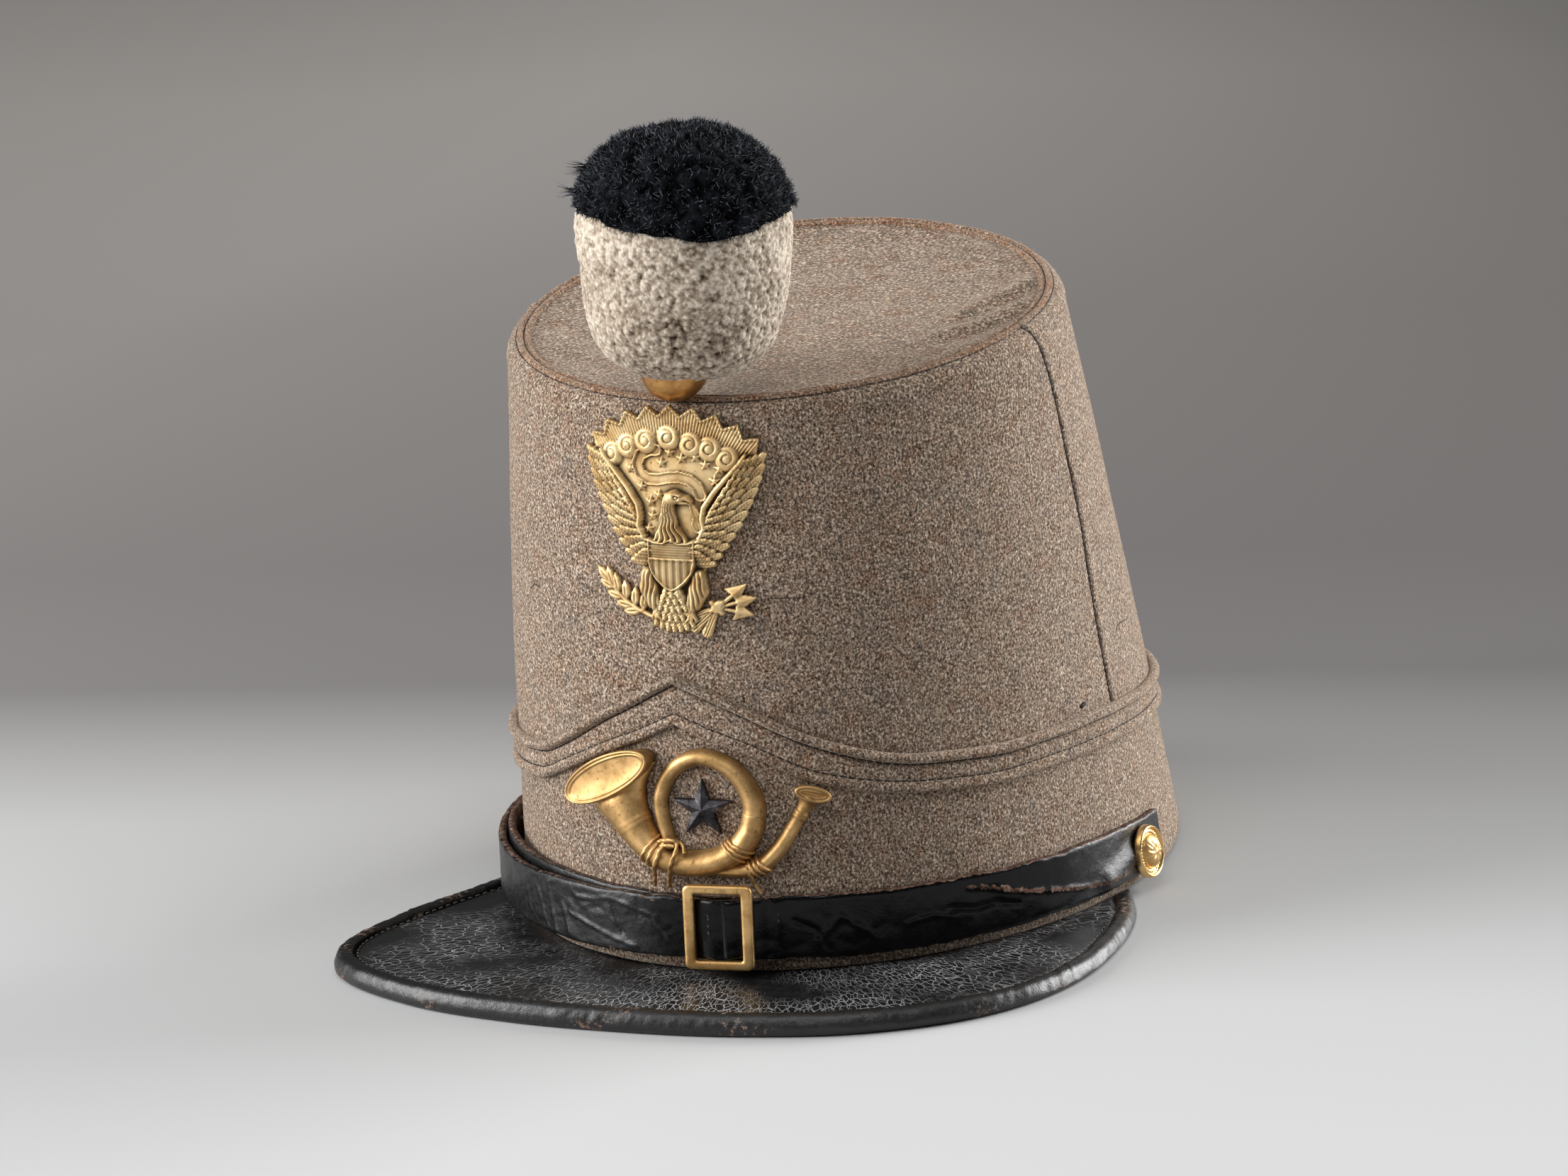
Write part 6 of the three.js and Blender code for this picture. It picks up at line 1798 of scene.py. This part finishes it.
fibre_tree, node, given = new_tree("loose_fibres", FIBRE_INPUTS)
scatter = node("GeometryNodeDistributePointsOnFaces", {"Mesh": given["Geometry"],
                                                       "Density": given["Density"], "Seed": given["Seed"]})
cone = node("GeometryNodeMeshCone", {"Vertices": 3, "Side Segments": 2, "Radius Top": 0.0,
                                     "Radius Bottom": given["Thickness"], "Depth": given["Length"]},
            fill_type="NONE")
spot = node("GeometryNodeInputPosition")
height = node("SeparateXYZ", {"Vector": spot})
share = node("Math", {0: height.outputs["Z"], 1: given["Length"]}, operation="DIVIDE")
fibre = node("GeometryNodeStoreNamedAttribute", {"Geometry": cone, "Name": "tip", "Value": share})
stray = node("FunctionNodeRandomValue", {"Min": (-1, -1, -1), "Max": (1, 1, 1), "Seed": given["Seed"]},
             data_type="FLOAT_VECTOR")
leaned = node("VectorMath", {0: stray, "Scale": given["Lean"]}, operation="SCALE")
aim = node("VectorMath", {0: scatter.outputs["Normal"], 1: leaned})
turned = node("FunctionNodeAlignRotationToVector", {"Vector": aim}, axis="Z")
size = node("FunctionNodeRandomValue", {"Min": 0.45, "Max": 1.25, "Seed": given["Seed"]})
placed = node("GeometryNodeInstanceOnPoints", {"Points": scatter, "Instance": fibre, "Rotation": turned,
                                               "Scale": size})
tint = node("FunctionNodeRandomValue", {"Seed": given["Seed"]})
shaded = node("GeometryNodeStoreNamedAttribute", {"Geometry": placed, "Name": "shade", "Value": tint},
              domain="INSTANCE")
real = node("GeometryNodeRealizeInstances", {"Geometry": shaded})
bends = node("TexNoise", {"Scale": per_mm(2.2), "Detail": 1.0})
centred = node("VectorMath", {0: bends.outputs["Color"], 1: (0.5, 0.5, 0.5)}, operation="SUBTRACT")
tip = node("GeometryNodeInputNamedAttribute", {"Name": "tip"})
strength = node("Math", {0: tip, 1: given["Curl"]}, operation="MULTIPLY")
offset = node("VectorMath", {0: centred, "Scale": strength}, operation="SCALE")
bent = node("GeometryNodeSetPosition", {"Geometry": real, "Offset": offset})
coloured = node("GeometryNodeSetMaterial", {"Geometry": bent, "Material": given["Material"]})
node("NodeGroupOutput", {"Geometry": coloured})


# %% Growing fibres
def grown(name, source, tree, values):
    """Runs a tree on a copy of a mesh and keeps the result as a plain mesh."""
    carrier = bpy.data.objects.new(name + "_carrier", source)
    scene.collection.objects.link(carrier)
    modifier = carrier.modifiers.new(tree.name, "NODES")
    modifier.node_group = tree
    for item in tree.interface.items_tree:
        if item.in_out == "INPUT" and item.name in values:
            modifier[item.identifier] = values[item.name]
    evaluated = carrier.evaluated_get(bpy.context.evaluated_depsgraph_get())
    mesh = bpy.data.meshes.new_from_object(evaluated)
    carrier.modifiers.clear()
    bpy.data.objects.remove(carrier)
    mesh.name = name
    mesh.shade_smooth()
    piece = bpy.data.objects.new(name, mesh)
    scene.collection.objects.link(piece)
    return piece


GREY_TIPS = [(0.05, "#54463a"), (0.45, "#948574"), (0.95, "#d8ccba")]
# the palest black fibres are painted highlights: blue-grey glints on the plush
BLACK_GLINT_TIPS = [(0.36, "#010101"), (0.68, "#090a0c"), (0.97, "#62656d")]
WOOL_TIPS = [(0.1, "#2d241c"), (0.4, "#685849"), (0.75, "#8b7a69"), (1.0, "#ab9a87")]
grey_fibre = clipped_wool("grey_fibre", GREY_TIPS, sheen=0.12)
black_fibre_painted_glints = clipped_wool("black_fibre_painted_glints", BLACK_GLINT_TIPS, sheen=0.04, shine=0.06)
wool_fibre = clipped_wool("wool_fibre", WOOL_TIPS, sheen=0.1)
FIBRES = table(
    "on slot material per_mm2 length thick lean curl seed",
    (grey_wool, "grey_wool", grey_fibre, 1.15, 1.7, 0.1, 0.9, 1.4, 41),
    (black_wool, "black_wool", black_fibre_painted_glints, 2.0, 1.35, 0.13, 0.7, 1.5, 42),
    (crown_wall, "wool_cloth", wool_fibre, 0.03, 0.9, 0.05, 1.6, 0.9, 43),
    (crown_top, "wool_cloth", wool_fibre, 0.05, 0.9, 0.05, 1.6, 0.9, 44),
    (band, "wool_piping", wool_fibre, 0.08, 0.9, 0.05, 1.3, 0.9, 45),
    (top_piping, "wool_piping", wool_fibre, 0.35, 0.9, 0.05, 1.3, 0.9, 46),
)


def fibres(name, source, row):
    """Grows on a mesh the fibres that one row of sizes describes."""
    values = {"Density": row["per_mm2"] / MM ** 2, "Length": row["length"] * MM,
              "Thickness": row["thick"] * MM, "Lean": row["lean"], "Curl": row["curl"] * MM,
              "Seed": row["seed"], "Material": row["material"]}
    dress(grown(name, source, fibre_tree, values), row["slot"])


for row in FIBRES:
    fibres(row["on"].name + "_fibres", row["on"].data, row)

# %% Stray tufts on the pompom
TUFTS = table(
    "along turn",
    (46.5, 3.55), (41.0, 3.6), (50, -0.2),
)
TUFT_SIZE = 1.3
TUFT_FIBRES = {"slot": "black_wool", "material": black_fibre_painted_glints, "per_mm2": 14, "length": 5.5, "thick": 0.16,
               "lean": 0.35, "curl": 3.0, "seed": 47}
corners, faces = [], []
for i, tuft in enumerate(TUFTS):
    side = math.cos(tuft["turn"]) * pompom_right + math.sin(tuft["turn"]) * pompom_back
    middle = POMPOM_FOOT + tuft["along"] * pompom_up + pompom_radius(tuft["along"]) * side
    across = np.cross(pompom_up, side)
    corners += [middle + TUFT_SIZE * across, middle + TUFT_SIZE * pompom_up, middle - TUFT_SIZE * across]
    faces.append([3 * i, 3 * i + 1, 3 * i + 2])
patch = bpy.data.meshes.new("tuft_roots")
patch.from_pydata(to_row(corners).tolist(), [], faces)
fibres("pompom_tufts", patch, TUFT_FIBRES)

# %% [markdown]
# ## Stitches
# Every seam of the hat is sewn with dark waxed thread: under the band's piping, above its fold, beside
# the side seams, round the top and inside the visor's bound edge. Along the band and the side seams the
# dark thread also paints the shade in their grooves. A second tree turns a line into evenly spaced points
# and sets one short bead of thread on each, pointing along the line. Loose threads use it too, and so does
# a moth hole, as a dark blob that paints the shadow inside the hole.

# %% Stitch tree
STITCH_INPUTS = {"Float": ("Spacing", "Length", "Thickness"), "Material": ("Material",)}
stitch_tree, node, given = new_tree("stitches", STITCH_INPUTS)
line = node("GeometryNodeMeshToCurve", {"Mesh": given["Geometry"]})
spots = node("GeometryNodeCurveToPoints", {"Curve": line, "Length": given["Spacing"]}, mode="LENGTH")
bead = node("GeometryNodeMeshUVSphere", {"Segments": 6, "Rings": 4, "Radius": 0.5})
turned = node("FunctionNodeAlignRotationToVector", {"Vector": spots.outputs["Tangent"]}, axis="Z")
size = node("CombineXYZ", {"X": given["Thickness"], "Y": given["Thickness"], "Z": given["Length"]})
placed = node("GeometryNodeInstanceOnPoints", {"Points": spots, "Instance": bead, "Rotation": turned,
                                               "Scale": size})
real = node("GeometryNodeRealizeInstances", {"Geometry": placed})
coloured = node("GeometryNodeSetMaterial", {"Geometry": real, "Material": given["Material"]})
node("NodeGroupOutput", {"Geometry": coloured})

# %% Sewn lines
waxed_thread, _, _ = new_material("waxed_thread", roughness=0.7, base_color=linear("#1d1611"))
grey_thread, _, _ = new_material("grey_thread", roughness=0.7, base_color=linear("#5b5751"))


def sewn(name, lines, closed, spacing, length, thick, material, slot):
    """Stitches along lines of points, each an open line or a closed ring."""
    points, edges = [], []
    for line in lines:
        count = len(line)
        edges += [(len(points) + i, len(points) + (i + 1) % count)
                  for i in range(count if closed else count - 1)]
        points += list(line)
    path = bpy.data.meshes.new(name + "_path")
    path.from_pydata(to_row(points).tolist(), edges, [])
    values = {"Spacing": spacing * MM, "Length": length * MM, "Thickness": thick * MM, "Material": material}
    dress(grown(name, path, stitch_tree, values), slot)


SEAM_STITCH = {"aside": 1.95, "off": 0.05}
VISOR_STITCH = {"inset": 1.0, "off": 0.1}
seam_lines = []
for side in (-1, 1):
    origin, backward, outward = seam_frame(side)
    seam_lines.append((origin - SEAM_STITCH["aside"] * backward + SEAM_STITCH["off"] * outward)[3:])
sewn_reach = visor_reach(bearings) - binding_width(bearings) - VISOR_STITCH["inset"]
visor_inset = from_pole(bearings, sewn_reach, 0.0)
visor_inset[:, 2] = rim_plane(visor_inset[:, 1]) - GAP + VISOR_STITCH["off"]
top_rings = [on_oval(TOP, angles, 1.9, 0.25), on_oval(TOP, angles, -0.05, -0.1)]

LOOSE = table(
    "line off",
    ([(24.8, 93.2), (28.8, 93), (33, 92.9)], 0.15), ([(48.1, 98), (53.5, 97.9)], 0.15),
    ([(138.6, 67.4), (143, 67.6), (148.2, 66.8)], 0.4), ([(-52, 88), (-49.5, 89.6), (-47, 89.2)], 0.3),
)
loose_lines = [on_wall(*np.transpose(row["line"]), np.full(len(row["line"]), row["off"])) for row in LOOSE]
# painted shadow: a dark blob of thread beads stands for the shade inside the moth hole
moth_hole = [on_wall(np.array([111.2, 112.2]), np.array([53.0, 53.3]), np.array([2.3, 2.3]))]
SEWN = table(
    "name lines closed spacing length thick material slot",
    # the dark band and seam stitches also paint the shade in the grooves beside them
    ("band_stitches", band_stitch_lines, True, 2.3, 2.0, 0.5, waxed_thread, "wool_piping"),
    ("seam_stitches", seam_lines, False, 1.9, 1.9, 0.42, waxed_thread, "wool_cloth"),
    ("top_stitches", top_rings, True, 2.2, 2.1, 0.4, waxed_thread, "wool_piping"),
    ("visor_stitches", [visor_inset], False, 2.6, 1.7, 0.45, grey_thread, "visor_leather"),
    ("loose_threads", loose_lines, False, 0.8, 1.2, 0.22, waxed_thread, "wool_cloth"),
    ("moth_hole", moth_hole, False, 0.5, 1.5, 1.2, waxed_thread, "wool_piping"),
)
for row in SEWN:
    sewn(**row)

# %% [markdown]
# ## The cup under the pompom
# A small spun bowl of gilt brass covers the foot of the pompom's pin. Its half section is turned round
# the upright axis; the rolled lip at its mouth is a few more points of the same section.

# %% Pompom cup
CUP = {"x": 1.8, "y": -91.2, "z": 153.0, "radius": 8.4}
CUP_SECTION = [(0.02, -1.0), (0.2, -0.985), (0.4, -0.925), (0.58, -0.82), (0.75, -0.665), (0.87, -0.49),
               (0.95, -0.3), (0.985, -0.15), (1.0, -0.06), (1.02, -0.02), (1.02, 0.03), (0.99, 0.05),
               (0.94, 0.03), (0.85, 0.03), (0.02, 0.03)]
turn = full_turn(72)
rings = []
for across, up in CUP_SECTION:
    ring = np.stack([across * np.cos(turn), across * np.sin(turn), np.full(len(turn), up)], axis=1)
    ring = ring * CUP["radius"]
    dent = 0.12 * noise(ring, 4, 35)
    rings.append(ring * (1 + dent / CUP["radius"])[:, None] + [CUP["x"], CUP["y"], CUP["z"]])
dress(loft("pompom_cup_bowl", rings, cup_brass), "gilt_brass", "pompom_cup")

# %% Update the view layer
bpy.context.view_layer.update()
